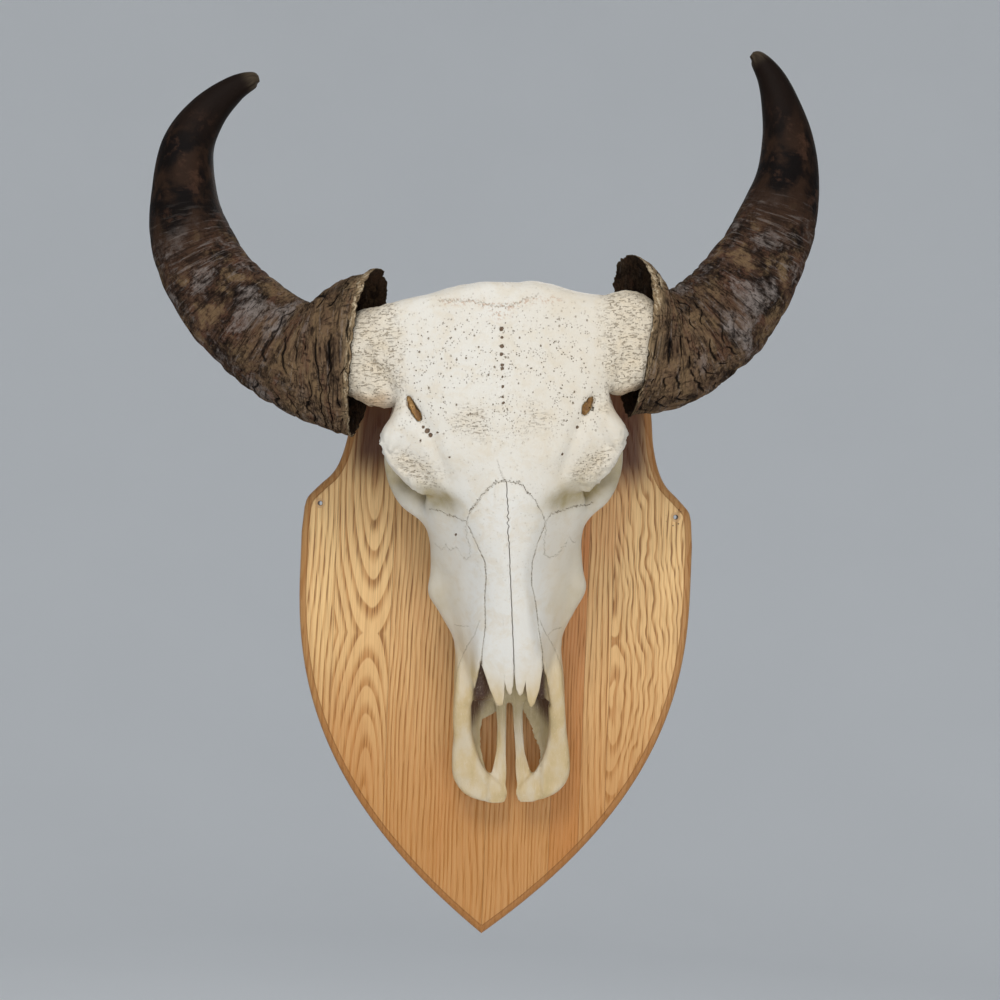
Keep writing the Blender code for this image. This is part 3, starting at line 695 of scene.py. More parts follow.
@dataclass(frozen=True)
class HornFinish:
    """Old horn: flaky and tan at the base, mottled brown, ochre and grey in the middle, black at the tip."""

    flake: Triple = (0.185, 0.118, 0.066)
    brown: Triple = (0.070, 0.038, 0.024)
    deep: Triple = (0.013, 0.008, 0.006)
    black: Triple = (0.0048, 0.0034, 0.0030)
    umber: Triple = (0.026, 0.0135, 0.0080)
    ochre: Triple = (0.178, 0.115, 0.060)
    rust: Triple = (0.100, 0.048, 0.029)
    pale: Triple = (0.215, 0.180, 0.160)
    crumb: Triple = (0.58, 0.47, 0.32)
    worn: Triple = (0.062, 0.046, 0.030)
    husk: Triple = (0.29, 0.205, 0.115)
    gloss: float = 0.045
    relief: float = 0.0016

    def material(self) -> bpy.types.Material:
        """Colour and relief follow the mesh's marks.

        `horn_place` is a point's place along and round the horn, and `run` goes from 0 at the rim to 1 at the
        tip. Cracks open where `growth` passes a whole number and `crack` is above 0. From 0 to 1: `flaky` is
        the base, `inside` the hollow, `tip` the worn point and `rim` the broken edge.
        """
        s = Shader("old_horn")
        place = s.mark("horn_place", vector=True)
        run, crack, flaky = (s.mark(name) for name in ("run", "crack", "flaky"))
        patch = s.noise(place, 0.026, 5.0, 0.62, 0.3)
        blot = s.noise(s.stretch(place, (1.1, 1.0, 1.0)), 0.033, 5.0, 0.68, 0.3)
        stain = s.noise(s.stretch(place, (1.2, 0.8, 0.8)), 0.055, 5.0, 0.68, 0.3)
        fine = s.noise(s.stretch(place, (1.3, 1.0, 1.0)), 0.28, 5.0, 0.68)
        fibre = s.noise(s.stretch(place, (0.20, 1.0, 1.0)), 0.62, 3.0, 0.6)
        streak = s.noise(s.stretch(place, (2.8, 0.30, 0.30)), 0.12, 4.0, 0.65, 0.4)
        middle = 1 - run.step(0.46, 0.74)
        colour = s.mix(patch.step(0.42, 0.60), self.brown, self.deep)
        colour = s.mix(flaky * (fine.step(0.32, 0.64) * 0.65 + 0.22), colour, self.flake)
        colour = s.mix(stain.step(0.52, 0.62) * middle * 0.65, colour, self.rust)
        grit = s.noise(s.stretch(place, (1.1, 1.0, 1.0)), 0.16, 5.0, 0.72, 0.4)
        broken = grit.step(0.36, 0.58)
        greyed = blot.step(0.50, 0.64) * middle * run.step(0.05, 0.22) * (0.30 + 0.60 * broken)
        colour = s.mix(greyed, colour, self.pale)
        colour = s.mix(blot.step(0.49, 0.36) * middle * (0.18 + 0.60 * broken), colour, self.ochre)
        colour = s.mix(stain.step(0.46, 0.36) * middle * 0.80, colour, self.deep)
        colour = s.mix(grit.step(0.47, 0.34) * middle * 0.62, colour, self.deep)
        colour = s.mix(grit.step(0.60, 0.74) * middle * 0.40, colour, self.pale)
        colour = s.mix(streak.step(0.55, 0.66) * middle * 0.45 * fine.step(0.35, 0.6), colour, self.pale)
        colour = s.mix(streak.step(0.45, 0.36) * (1 - run.step(0.6, 0.9)) * 0.75, colour, self.deep)
        upper = run.step(0.40, 0.62)
        dark = s.mix(patch.step(0.38, 0.58) * (1 - run.step(0.74, 0.92)), self.umber, self.black)
        colour = s.mix(upper, colour, s.mix(run.step(0.70, 0.90) * 0.75, dark, self.black))
        colour = s.mix(upper * stain.step(0.54, 0.68) * (1 - run.step(0.72, 0.92)) * 0.30, colour, self.rust)
        bands = streak.step(0.53, 0.66) * run.step(0.36, 0.46) * (1 - run.step(0.50, 0.64))
        colour = s.mix(bands * 0.34, colour, self.pale)
        colour = s.mix(s.mark("tip") * patch.step(0.30, 0.55), colour, self.worn)
        rim = s.mark("rim")
        colour = s.mix(rim * (0.40 + 0.5 * fine.step(0.35, 0.6)), colour, self.husk)
        colour = s.mix(rim.step(0.55, 0.95) * grit.step(0.50, 0.58) * 0.75, colour, self.crumb)
        line = abs(s.noise(s.stretch(place, (1.8, 0.42, 0.42)), 0.10, 4.0, 0.65) - 0.5).step(0.016, 0.0)
        ticks = fibre.step(0.58, 0.64) * stain.step(0.40, 0.52) * (1 - run.step(0.10, 0.26))
        split = s.mark("growth") + (fine - 0.5) * 0.16
        split = (0.5 - abs(split.part() - 0.5)).step(0.085, 0.02) * crack.step(0.15, 0.7)
        lines = (line * (1 - run.step(0.30, 0.62)) * blot.step(0.40, 0.50)).most(ticks * 0.85)
        colour = s.mix((split * 0.9).most(lines * 0.70).most(s.mark("inside") * 0.6), colour, self.black)
        rough = 0.78 - 0.30 * run.step(0.30, 0.75) + 0.12 * fine
        height = fine * (0.8 - 0.62 * run.step(0.3, 0.7)) + fibre * 0.3 * middle - lines * 0.7 - split * 1.0
        s.principled.inputs["Specular IOR Level"].default_value = self.gloss
        return s.finish(colour, rough, height + blot * middle * 0.8, self.relief)


@dataclass(frozen=True)
class OakFinish:
    """Golden oak, glued from strips with their own grain, under a satin varnish. Lengths are in metres.

    `edges` are the glue lines. The tables after it have one number for each strip, from left to right.
    """

    light: Triple = (0.88, 0.585, 0.265)
    dark: Triple = (0.50, 0.245, 0.078)
    pore: Triple = (0.19, 0.080, 0.027)
    cove: Triple = (0.33, 0.135, 0.035)
    putty: Triple = (0.60, 0.36, 0.17)
    red: Triple = (0.60, 0.235, 0.072)
    # Painted shade: a near-black red for the board's front where the skull and horns shade it.
    painted_shade: Triple = (0.080, 0.022, 0.008)
    orange: Triple = (0.44, 0.17, 0.028)
    speck: Triple = (0.05, 0.02, 0.012)
    # Painted shade for the wall holes.
    painted_hole_shade: Triple = (0.03, 0.015, 0.01)
    gloss: float = 0.28
    relief: float = 0.0003
    hole_x: float = 0.1835
    speck_ring: float = 0.0085
    edges: tuple[float, ...] = (-0.165, -0.106, 0.066, 0.096, 0.122)
    heart_x: tuple[float, ...] = (-0.255, -0.130, -0.190, 0.185, 0.250, 0.126)
    heart_z: tuple[float, ...] = (0.30, -0.132, 0.10, 0.20, 0.0, -0.13)
    fold: tuple[float, ...] = (0.0, 0.112, 0.0, 0.0, 0.0, 0.0)
    slope: tuple[float, ...] = (0.10, 0.20, 0.07, 0.05, 0.10, 0.21)
    rings: tuple[float, ...] = (190.0, 170.0, 205.0, 270.0, 180.0, 185.0)
    tint: tuple[float, ...] = (-0.06, 0.0, 0.06, 0.16, -0.12, -0.05)
    redness: tuple[float, ...] = (0.0, 0.05, 0.12, 0.72, 0.10, 0.05)

    def per_strip(self, s: Shader, x: Socket, values: tuple[float, ...]) -> Socket:
        """A number that changes from strip to strip at the glue lines."""
        total = s.node("ShaderNodeValue", {}, {}, 0)
        total.link.default_value = values[0]
        for edge, before, after in zip(self.edges, values, values[1:]):
            total = total + (x - edge).step(-0.0003, 0.0003) * (after - before)
        return total

    def material(self) -> bpy.types.Material:
        """Each strip is cut from a log with its own heart: growth rings run as long ovals round it.

        A ring's place is the root of (x - heart)^2 + (slope * (|z - heart z| - fold))^2, bent by noise. A
        strip with a fold has two hearts, one above and one below. Long dark pores crowd in the early part of
        each ring. `cove` marks the hollow cut round the board's edge.
        """
        s = Shader("golden_oak")
        place = s.place()
        x, y, z = (s.axis(place, k) for k in range(3))
        heart_x, heart_z = self.per_strip(s, x, self.heart_x), self.per_strip(s, x, self.heart_z)
        bend = s.noise(s.stretch(place, (1.0, 1.0, 0.22)), 11.0, 2.0, 0.55)
        wave = s.noise(s.stretch(place, (1.0, 1.0, 0.50)), 32.0, 2.0, 0.5)
        wavy = x.step(0.121, 0.123) * 0.020 + 0.0025
        u = x - heart_x + (bend - 0.5) * 0.040 + (wave - 0.5) * wavy
        v = (abs(z - heart_z) - self.per_strip(s, x, self.fold)) * self.per_strip(s, x, self.slope) + y * 0.6
        radius = (u * u + v * v + 0.00003) ** 0.5
        uneven = s.noise(s.stretch(place, (1.0, 1.0, 0.25)), 20.0, 2.0) - 0.5
        phase = radius * self.per_strip(s, x, self.rings) + uneven * 1.8
        ring = phase.part()
        vary = s.noise(s.stretch(place, (1.0, 1.0, 0.10)), 55.0, 2.0)
        early = ring.step(0.0, 0.10) * ring.step(0.62, 0.14)
        wide = s.noise(s.stretch(place, (1.0, 1.0, 0.06)), 26.0, 3.0)
        pores = s.noise(s.stretch(place, (1.0, 1.0, 0.030)), 820.0, 2.0, 0.55)
        hairs = s.noise(s.stretch(place, (1.0, 1.0, 0.022)), 600.0, 3.0, 0.6)
        pore = pores.step(0.50, 0.62) * (0.25 + 0.75 * early)
        shade = early * (0.22 + 0.90 * vary) + (wide - 0.5) * 0.6 + (hairs - 0.5) * 1.1 + 0.10
        colour = s.mix(shade + self.per_strip(s, x, self.tint), self.light, self.dark)
        figure = s.noise(s.stretch(place, (1.0, 1.0, 0.40)), 13.0, 3.0, 0.55).step(0.50, 0.66)
        redness = self.per_strip(s, x, self.redness) + figure * 0.28
        colour = s.mix(redness, colour, self.red)
        colour = s.mix(pore * 0.75, colour, self.pore)
        colour = s.mix(z.step(-0.02, -0.36) * 0.75, colour, self.orange)
        # Painted shade: the board's front is darkened near its top and beside the skull under the horns,
        # where the skull and horns shade it.
        front = y.step(-0.012, -0.018)
        corner = abs(x).step(0.168, 0.138) * z.step(0.012, 0.058) * 0.95
        colour = s.mix((z.step(0.035, 0.095) * 0.60).most(corner) * front, colour, self.painted_shade)
        for edge in self.edges:
            colour = s.mix(abs(x - edge).step(0.0007, 0.0001) * 0.35, colour, self.pore)
        # The cove round the edge, and a little of the back, is painted darker: partly the end grain's own
        # colour, partly painted shade of faces turned away from the front light.
        colour = s.mix(s.mark("cove") * (0.75 + 0.5 * (hairs - 0.5)), colour, self.cove)
        hole = ((abs(x) - self.hole_x) ** 2.0 + z * z) ** 0.5
        colour = s.mix(hole.step(0.0056, 0.0046) * 0.75, colour, self.putty)
        dots = s.cells(s.stretch(place, (1.0, 0.0, 1.0)), 260.0).step(0.30, 0.16)
        beyond = hole - self.speck_ring
        dots = dots * beyond.step(0.0035, 0.0) * beyond.step(-0.0035, -0.001) * x.step(0.0, 0.1)
        colour = s.mix(dots * 0.8, colour, self.speck)
        # Painted shade: the wall holes' walls and rims are painted near black, for the dark seen down each
        # hole.
        colour = s.mix(hole.step(0.0030, 0.0022) * 0.85, colour, self.painted_hole_shade)
        s.principled.inputs["Specular IOR Level"].default_value = self.gloss
        return s.finish(colour, 0.36 + 0.2 * pore, 0.4 * early - pore * 0.9, self.relief)


@dataclass(frozen=True)
class SteelFinish:
    """Zinc-plated steel, slightly clouded."""

    colour: Triple = (0.55, 0.55, 0.53)
    dull: Triple = (0.42, 0.42, 0.40)
    relief: float = 0.00003

    def material(self) -> bpy.types.Material:
        """The plating's colour and roughness follow a fine noise."""
        s = Shader("zinc_plated_steel")
        cloud = s.noise(s.place(), 900.0, 3.0)
        shade = s.mix(cloud.step(0.3, 0.7), self.colour, self.dull)
        s.principled.inputs["Metallic"].default_value = 1.0
        return s.finish(shade, 0.28 + 0.2 * cloud, cloud, self.relief)


# The skull


@dataclass
class BoneField:
    """How far each point of a block of space is from the bone: negative inside, in millimetres.

    The block's axes are across, along and height, in the skull's own frame.
    """

    low: Triple
    high: Triple
    step: float

    def __post_init__(self) -> None:
        """Starts with no bone anywhere."""
        ends = zip(self.low, self.high)
        self.axes = [np.arange(a, b + self.step, self.step, dtype=np.float32) for a, b in ends]
        self.values = np.full([len(axis) for axis in self.axes], 60.0, np.float32)

    def window(self, low: Array, high: Array) -> tuple[tuple[slice, ...], list[Array]]:
        """The part of the block between two corners: its slices, and its axes ready to be broadcast."""
        cuts, axes = [], []
        for k, axis in enumerate(self.axes):
            a, b = np.searchsorted(axis, [low[k], high[k]])
            cuts.append(slice(int(a), max(int(b), int(a) + 1)))
            axes.append(axis[cuts[-1]].reshape([-1 if m == k else 1 for m in range(3)]))
        return tuple(cuts), axes

    def merge(self, cuts: tuple[slice, ...], distance: Array, blend: float) -> None:
        """Adds a mass, with a fillet: min(a, b) less h(1-h) times the blend, h being the share of one."""
        old = self.values[cuts]
        h = np.clip(0.5 + 0.5 * (old - distance) / blend, 0, 1)
        self.values[cuts] = old + (distance - old) * h - blend * h * (1 - h)

    def carve(self, cuts: tuple[slice, ...], distance: Array, blend: float) -> None:
        """Takes a mass away, with a rounded edge."""
        old = self.values[cuts]
        h = np.clip(0.5 - 0.5 * (old + distance) / blend, 0, 1)
        self.values[cuts] = old - (distance + old) * h + blend * h * (1 - h)

    def add_sections(self, table: Any, reach: float) -> None:
        """Adds a mass given by mirrored half-sections: the distance to each slice's smooth outline.

        Args:
            table: rows of along, then (across, height) points from the crown to the palate.
            reach: how far out across the midline the distance is worked out.
        """
        flat = [[along, *(v for point in points for v in point)] for along, *points in table]
        rows = eased(flat, 12 * len(table))
        along = self.axes[1]
        fine = np.stack([np.interp(along, rows[:, 0], rows[:, k]) for k in range(rows.shape[1])], axis=1)
        cuts, (across, _, height) = self.window((-reach, -1e3, -1e3), (reach, 1e3, 1e3))
        px, pz = np.abs(across[:, 0]).astype(np.float32), height[0].astype(np.float32)
        half = px.shape[0]
        body = np.empty((half, len(along), pz.shape[1]), np.float32)
        for i, row in enumerate(fine):
            right = np.stack([row[1::2], row[2::2]], axis=1)
            left = right[-2:0:-1] * (-1, 1)
            ring = eased_ring(np.vstack([right, left]), 6).astype(np.float32)
            end = np.roll(ring, -1, axis=0)
            best = np.full((half, pz.shape[1]), 1e9, np.float32)
            odd = np.zeros((half, pz.shape[1]), bool)
            for (ax, az), (bx, bz) in zip(ring, end):
                dx, dz = bx - ax, bz - az
                length = max(float(dx * dx + dz * dz), 1e-6)
                t = np.clip(((px - ax) * dx + (pz - az) * dz) / length, 0, 1)
                best = np.minimum(best, (px - ax - t * dx) ** 2 + (pz - az - t * dz) ** 2)
                if az != bz:
                    odd ^= ((az > pz) != (bz > pz)) & (px < dx * (pz - az) / dz + ax)
            body[:, i] = np.where(odd, -np.sqrt(best), np.sqrt(best))
        first, last = flat[0][0], flat[-1][0]
        ends = np.maximum(first - along, along - last)[None, :, None]
        self.merge(cuts, np.maximum(body, ends), 1.0)

    def limb(self, path: Any, squash: float = 1.0) -> tuple[tuple[slice, ...], Array]:
        """Distance to a chain of round cones through the path's points (across, along, height, radius).

        Args:
            path: the points.
            squash: how much deeper a cone is across than in height.

        Returns:
            The window that holds the chain, and the distances in it.
        """
        rows = eased(path, 3 * len(path))
        reach = rows[:, 3:].max() + 14
        cuts, axes = self.window(rows[:, :3].min(axis=0) - reach, rows[:, :3].max(axis=0) + reach)
        best = np.full([len(axes[0]), axes[1].shape[1], axes[2].shape[2]], 60.0, np.float32)
        for start, end in zip(rows, rows[1:]):
            d = (end - start)[:3] * (1, 1, squash)
            p = [axes[k] - start[k] for k in range(3)]
            p[2] = p[2] * squash
            t = np.clip((p[0] * d[0] + p[1] * d[1] + p[2] * d[2]) / max(float(d @ d), 1e-6), 0, 1)
            gap = sum((p[k] - t * d[k]) ** 2 for k in range(3))
            best = np.minimum(best, np.sqrt(gap) - (start[3] + t * (end[3] - start[3])))
        return cuts, best.astype(np.float32)

    def ball(self, centre: Any, half: Any) -> tuple[tuple[slice, ...], Array]:
        """About the distance to an ellipsoid: its scaled radius less one, times its mean half size."""
        centre, half = np.array(centre, float), np.array(half, float)
        cuts, axes = self.window(centre - half - 12, centre + half + 12)
        scaled = np.sqrt(sum(((axes[k] - centre[k]) / half[k]) ** 2 for k in range(3)))
        return cuts, ((scaled - 1) * float(half.min())).astype(np.float32)

    def box_bar(self, table: Any, side: int, corner: float) -> tuple[tuple[slice, ...], Array]:
        """Distance to a bar with round corners, whose four sides run along a table."""
        rows = eased(table, 8 * len(table))
        cuts, (across, along, height) = self.window(
            (-90, rows[0, 0] - 12, rows[:, 4].min() - 12), (90, rows[-1, 0] + 12, rows[:, 3].max() + 12)
        )
        inner, outer, top, bottom = (np.interp(along, rows[:, 0], rows[:, k]) for k in range(1, 5))
        q1 = np.abs(side * across - (inner + outer) / 2) - (outer - inner) / 2 + corner
        q2 = np.abs(height - (top + bottom) / 2) - (top - bottom) / 2 + corner
        flat = np.hypot(np.maximum(q1, 0), np.maximum(q2, 0)) + np.minimum(np.maximum(q1, q2), 0) - corner
        ends = np.maximum(rows[0, 0] - along, along - rows[-1, 0])
        return cuts, np.maximum(flat, ends).astype(np.float32)

    def oval_bar(self, table: Any) -> tuple[tuple[slice, ...], Array]:
        """About the distance to an oval tunnel: half width, top and bottom run along a table."""
        rows = eased(table, 8 * len(table))
        cuts, (across, along, height) = self.window((-60, rows[0, 0] - 6, 0), (60, rows[-1, 0] + 6, 1e3))
        wide, top, bottom = (np.interp(along, rows[:, 0], rows[:, k]) for k in range(1, 4))
        deep = (top - bottom) / 2
        scaled = np.hypot(across / wide, (height - (top + bottom) / 2) / deep)
        flat = (scaled - 1) * np.minimum(wide, deep)
        ends = np.maximum(rows[0, 0] - along, along - rows[-1, 0])
        return cuts, np.maximum(flat, ends).astype(np.float32)

    def roof(self) -> Array:
        """Height of the front surface across and along, smoothed; 0 where there is no bone."""
        inside = self.values < 0
        top = inside.shape[2] - 1 - np.argmax(inside[:, :, ::-1], axis=2)
        a, s = np.indices(top.shape)
        near = self.values[a, s, top]
        far = self.values[a, s, np.minimum(top + 1, inside.shape[2] - 1)]
        height = self.low[2] + self.step * (top + near / np.minimum(near - far, -1e-3))
        height = np.where(inside.any(axis=2), height, 0.0)
        for _ in range(2):
            height = (height + np.roll(height, 1, 0) + np.roll(height, -1, 0)) / 3
            height = (height + np.roll(height, 1, 1) + np.roll(height, -1, 1)) / 3
        return height

    def over(self, roof: Array, across: Array, along: Array) -> Array:
        """The roof's height at any place, blended from the four grid points around it."""
        u = np.clip((across - self.low[0]) / self.step, 0, roof.shape[0] - 1.001)
        v = np.clip((along - self.low[1]) / self.step, 0, roof.shape[1] - 1.001)
        i, j = u.astype(int), v.astype(int)
        fu, fv = u - i, v - j
        near = roof[i, j] * (1 - fv) + roof[i, j + 1] * fv
        far = roof[i + 1, j] * (1 - fv) + roof[i + 1, j + 1] * fv
        return near * (1 - fu) + far * fu

    def skin(self) -> tuple[Array, Array]:
        """The surface where the distance is 0: one point to a cell, the mean of its edges' crossings.

        Returns:
            The points in the skull's frame, and the quads between cells that share a crossed edge.
        """
        f = self.values
        inside = f < 0
        shape = np.array(f.shape) - 1
        count = np.zeros(shape, np.uint8)
        for i, j, k in np.ndindex(2, 2, 2):
            count += inside[i : i + shape[0], j : j + shape[1], k : k + shape[2]]
        flat = np.flatnonzero((count > 0) & (count < 8))
        index = np.full(count.size, -1, np.int64)
        index[flat] = np.arange(len(flat))
        cell = np.stack(np.unravel_index(flat, count.shape), axis=1)
        total, hits = np.zeros((len(flat), 3)), np.zeros(len(flat))
        for axis in range(3):
            for i, j in np.ndindex(2, 2):
                offset = np.insert(np.array([i, j]), axis, 0)
                ahead = np.eye(3, dtype=int)[axis]
                near = f[tuple((cell + offset).T)]
                far = f[tuple((cell + offset + ahead).T)]
                crossed = (near < 0) != (far < 0)
                t = np.where(crossed, near / np.where(crossed, near - far, 1), 0)
                total += crossed[:, None] * (offset + t[:, None] * ahead)
                hits += crossed
        points = (cell + total / hits[:, None]) * self.step + np.array(self.low)
        quads = []
        for axis in range(3):
            b, c = (axis + 1) % 3, (axis + 2) % 3
            near = np.moveaxis(inside, axis, 0)[:-1]
            far = np.moveaxis(inside, axis, 0)[1:]
            changed = np.moveaxis(near != far, 0, axis)
            at = np.stack(np.nonzero(changed), axis=1)
            at = at[(at[:, b] > 0) & (at[:, c] > 0) & (at[:, b] < shape[b]) & (at[:, c] < shape[c])]
            solid_first = inside[tuple(at.T)]
            eb, ec = np.eye(3, dtype=int)[b], np.eye(3, dtype=int)[c]
            ring = [at - eb - ec, at - ec, at, at - eb]
            quad = np.stack([index[np.ravel_multi_index(tuple(r.T), count.shape)] for r in ring], axis=1)
            quads.append(np.where(solid_first[:, None], quad, quad[:, ::-1]))
        return points, np.vstack(quads)


@dataclass(frozen=True)
class SkullPlace:
    """Where the skull hangs: its poll, and how far the snout swings to the right."""

    poll: tuple[float, float] = (-6.4, 215.4)
    swing: float = math.radians(3.6)

    def to_row(self, points: Array) -> Array:
        """Points of the skull's frame, turned by the swing and moved to the poll, in the row frame."""
        across, along, height = points[..., 0], points[..., 1], points[..., 2]
        c, s = math.cos(self.swing), math.sin(self.swing)
        x = self.poll[0] + across * c + along * s
        z = self.poll[1] + across * s - along * c
        return np.stack([x, -height, z], axis=-1)

    def to_skull(self, points: Array) -> Array:
        """Points of the row frame as across, along and height."""
        dx, dz = points[..., 0] - self.poll[0], points[..., 2] - self.poll[1]
        c, s = math.cos(self.swing), math.sin(self.swing)
        return np.stack([dx * c + dz * s, dx * s - dz * c, -points[..., 1]], axis=-1)


@dataclass
class Skull:
    """The skull's bone: cranium and face, nasal bones, premaxillae, cheek teeth and the horn cores' ends."""

    place: SkullPlace = field(default_factory=SkullPlace)
    body_step: float = 2.4
    rest_height: float = 20.2

    sections: tuple = (
        (-3, (0, 184), (14, 183), (28, 180), (36, 170), (34, 150), (28, 130), (14, 120), (0, 118)),
        (5, (0, 189), (30, 188), (60, 182), (70, 168), (63, 142), (50, 115), (25, 95), (0, 88)),
        (14, (0, 193), (46, 191), (98, 182), (106, 164), (76, 138), (60, 100), (35, 72), (0, 62)),
        (32, (0, 198), (50, 195), (112, 186), (118, 163), (72, 138), (62, 95), (38, 58), (0, 50)),
        (70, (0, 203), (55, 201), (108, 191), (112, 168), (68, 146), (60, 95), (36, 56), (0, 48)),
        (105, (0, 206), (55, 204), (95, 194), (99, 178), (60, 156), (52, 100), (30, 55), (0, 48)),
        (140, (0, 207), (58, 203), (102, 192), (110, 181), (55, 158), (42, 100), (26, 56), (0, 50)),
        (160, (0, 206), (58, 201), (96, 189), (104, 178), (52, 150), (40, 100), (28, 58), (0, 52)),
        (190, (0, 202), (46, 193), (70, 181), (78, 160), (60, 125), (52, 90), (40, 54), (0, 54)),
        (215, (0, 196), (36, 187), (56, 168), (78, 142), (80, 110), (66, 76), (50, 48), (0, 52)),
        (245, (0, 187), (24, 181), (46, 160), (68, 132), (75, 106), (64, 70), (52, 46), (0, 52)),
        (275, (0, 177), (20, 170), (41, 148), (62, 122), (76, 100), (63, 68), (50, 46), (0, 52)),
        (296, (0, 169), (21, 161), (40, 140), (60, 116), (79, 96), (61, 66), (50, 46), (0, 52)),
        (318, (0, 161), (23, 152), (40, 131), (54, 110), (67, 91), (55, 64), (48, 46), (0, 54)),
        (345, (0, 151), (26, 142), (39, 121), (48, 102), (54, 84), (48, 62), (42, 48), (0, 56)),
        (380, (0, 137), (27, 129), (37, 112), (46, 96), (53, 80), (45, 62), (36, 50), (0, 56)),
        (404, (0, 122), (27, 113), (38, 97), (47, 85), (53, 73), (45, 60), (36, 51), (0, 56)),
    )
    cheek_arch: tuple = (
        (62, 222, 118, 13), (78, 209, 122, 15), (92, 197, 122, 15), (102, 181, 118, 13), (106, 160, 115, 12),
        (104, 136, 112, 11), (97, 106, 105, 10), (86, 76, 100, 11), (70, 56, 98, 14),
    )
    postorbital_bar: tuple = ((103, 141, 184, 11), (110, 147, 168, 8), (110, 146, 145, 7), (105, 141, 116, 9))
    brow: tuple = (
        (96, 128, 190, 9), (106, 143, 187, 9), (107, 157, 184, 8), (95, 174, 180, 9), (78, 188, 174, 10),
    )
    orbit_floor: tuple = ((60, 148, 106, 12), (72, 174, 107, 15), (78, 198, 112, 15))
    paracondylar: tuple = ((44, 30, 62, 13), (43, 22, 42, 9), (41, 17, 28, 7))
    condyle: tuple = ((20, 14, 62, 15), (22, 2, 58, 14), (24, -4, 56, 8))
    skull_base: tuple = ((0, 10, 62, 20), (0, 60, 52, 17), (0, 110, 54, 15), (0, 160, 62, 14))
    pterygoid: tuple = ((20, 150, 62, 7), (20, 178, 44, 5), (22, 205, 56, 7))
    nasal_cavity: tuple = (
        (222, 12, 158, 118), (262, 24, 154, 76), (310, 27, 142, 68), (350, 26, 134, 66), (380, 27, 124, 64),
        (402, 32, 117, 63), (425, 37, 112, 62), (446, 37, 100, 66),
    )
    palate_shelf: tuple = (
        (330, -3, 40, 66, 54), (370, -3, 38, 64, 53), (395, -3, 37, 63, 52), (408, -3, 38, 61, 52),
    )
    premaxilla: tuple = (
        (334, 30, 44, 88, 60), (352, 31, 48.5, 95, 58), (374, 31, 52.5, 104, 56), (395, 36, 54, 103, 54),
        (415, 39, 56, 96, 52),
        (440, 38, 57, 85, 50), (460, 34, 59, 75, 49), (480, 25, 59, 67, 48), (491, 13, 56, 62, 47),
        (501, 5, 49, 59, 46), (508, 5, 38, 56, 46), (513, 7, 22, 54, 47),
    )
    nostrils: dict = field(default_factory=lambda: {
        Side.LEFT: ((361, 25.5, 26.5, 168, 100), (368, 12, 28.5, 168, 92), (380, -6, 31.5, 168, 84),
                    (396, -6, 35, 160, 74), (412, -6, 38, 150, 68)),
        Side.RIGHT: ((364, 31.5, 32.5, 168, 100), (371, 12, 34, 168, 92), (382, -6, 36.5, 168, 84),
                     (396, -6, 39, 160, 74), (412, -6, 41, 150, 68)),
    })
    sheet_edges: dict = field(default_factory=lambda: {
        Side.LEFT: (
            (366, 6), (392, 8), (408, 9), (418, 11), (423, 19), (427, 28), (440, 30.5), (456, 30.5),
            (470, 28.5), (481, 25), (489, 19),
        ),
        Side.RIGHT: (
            (366, 6), (392, 9), (406, 10), (417, 12), (427, 18), (433, 21), (442, 23), (455, 28.5),
            (463, 31.5), (474, 29.5), (483, 25), (490, 19),
        ),
    })
    tooth_lengths: tuple = (17, 19, 20, 25, 28, 31)
    teeth_start: float = 378.0
    palatine_bar: tuple = (
        (398, 3, 15, 62, 52), (430, 4, 13, 61, 51), (458, 5, 14, 60, 49), (484, 5, 20, 58, 48),
        (499, 6, 24, 54, 47),
    )
    cores: dict = field(default_factory=lambda: {
        Side.LEFT: ((-84, 156, 150, 42, 38), (-121, 150, 151, 42, 35), (-155, 146, 149, 38, 31),
                    (-184, 142, 146, 36, 29), (-208, 147, 143, 34, 28), (-237, 163, 139, 31, 26),
                    (-267, 188, 134, 26, 22), (-288, 216, 130, 19, 17), (-298, 234, 128, 9, 8)),
        Side.RIGHT: ((74, 166, 150, 42, 38), (114, 168, 151, 42, 35), (146, 166, 149, 38, 31),
                     (170, 168, 146, 36, 29), (191, 180, 143, 34, 28), (212, 200, 140, 31, 26),
                     (232, 227, 136, 26, 22), (247, 256, 132, 19, 17), (254, 274, 130, 9, 8)),
    })
    slots: dict = field(default_factory=lambda: {
        Side.LEFT: (
            (-89.5, 106, 196, 2.4), (-86.5, 113, 193.5, 4.0), (-82, 121, 194.5, 4.6), (-80, 126, 196, 3.2),
        ),
        Side.RIGHT: (
            (84.5, 110, 197, 2.2), (82, 115, 194.5, 3.8), (79, 120, 195, 4.6), (77.5, 123.5, 197, 3.0),
        ),
    })

    burrs: dict = field(default_factory=lambda: {
        Side.LEFT: ((-112, 38, 168, 22), (-132, 46, 166, 24), (-143, 66, 164, 24), (-134, 86, 164, 20),
                    (-112, 98, 168, 16)),
        Side.RIGHT: ((112, 28, 170, 20), (128, 30, 168, 22), (138, 48, 166, 25), (136, 74, 164, 22),
                     (112, 92, 170, 15)),
    })

    def core_path(self, side: Side) -> tuple[Array, float]:
        """A horn core as a limb in the skull's frame, and how much its section is flattened in height."""
        rows = np.array(self.cores[side], float)
        world = np.column_stack([rows[:, 0], -rows[:, 2], rows[:, 1]])
        return np.column_stack([self.place.to_skull(world), rows[:, 3]]), 1.15

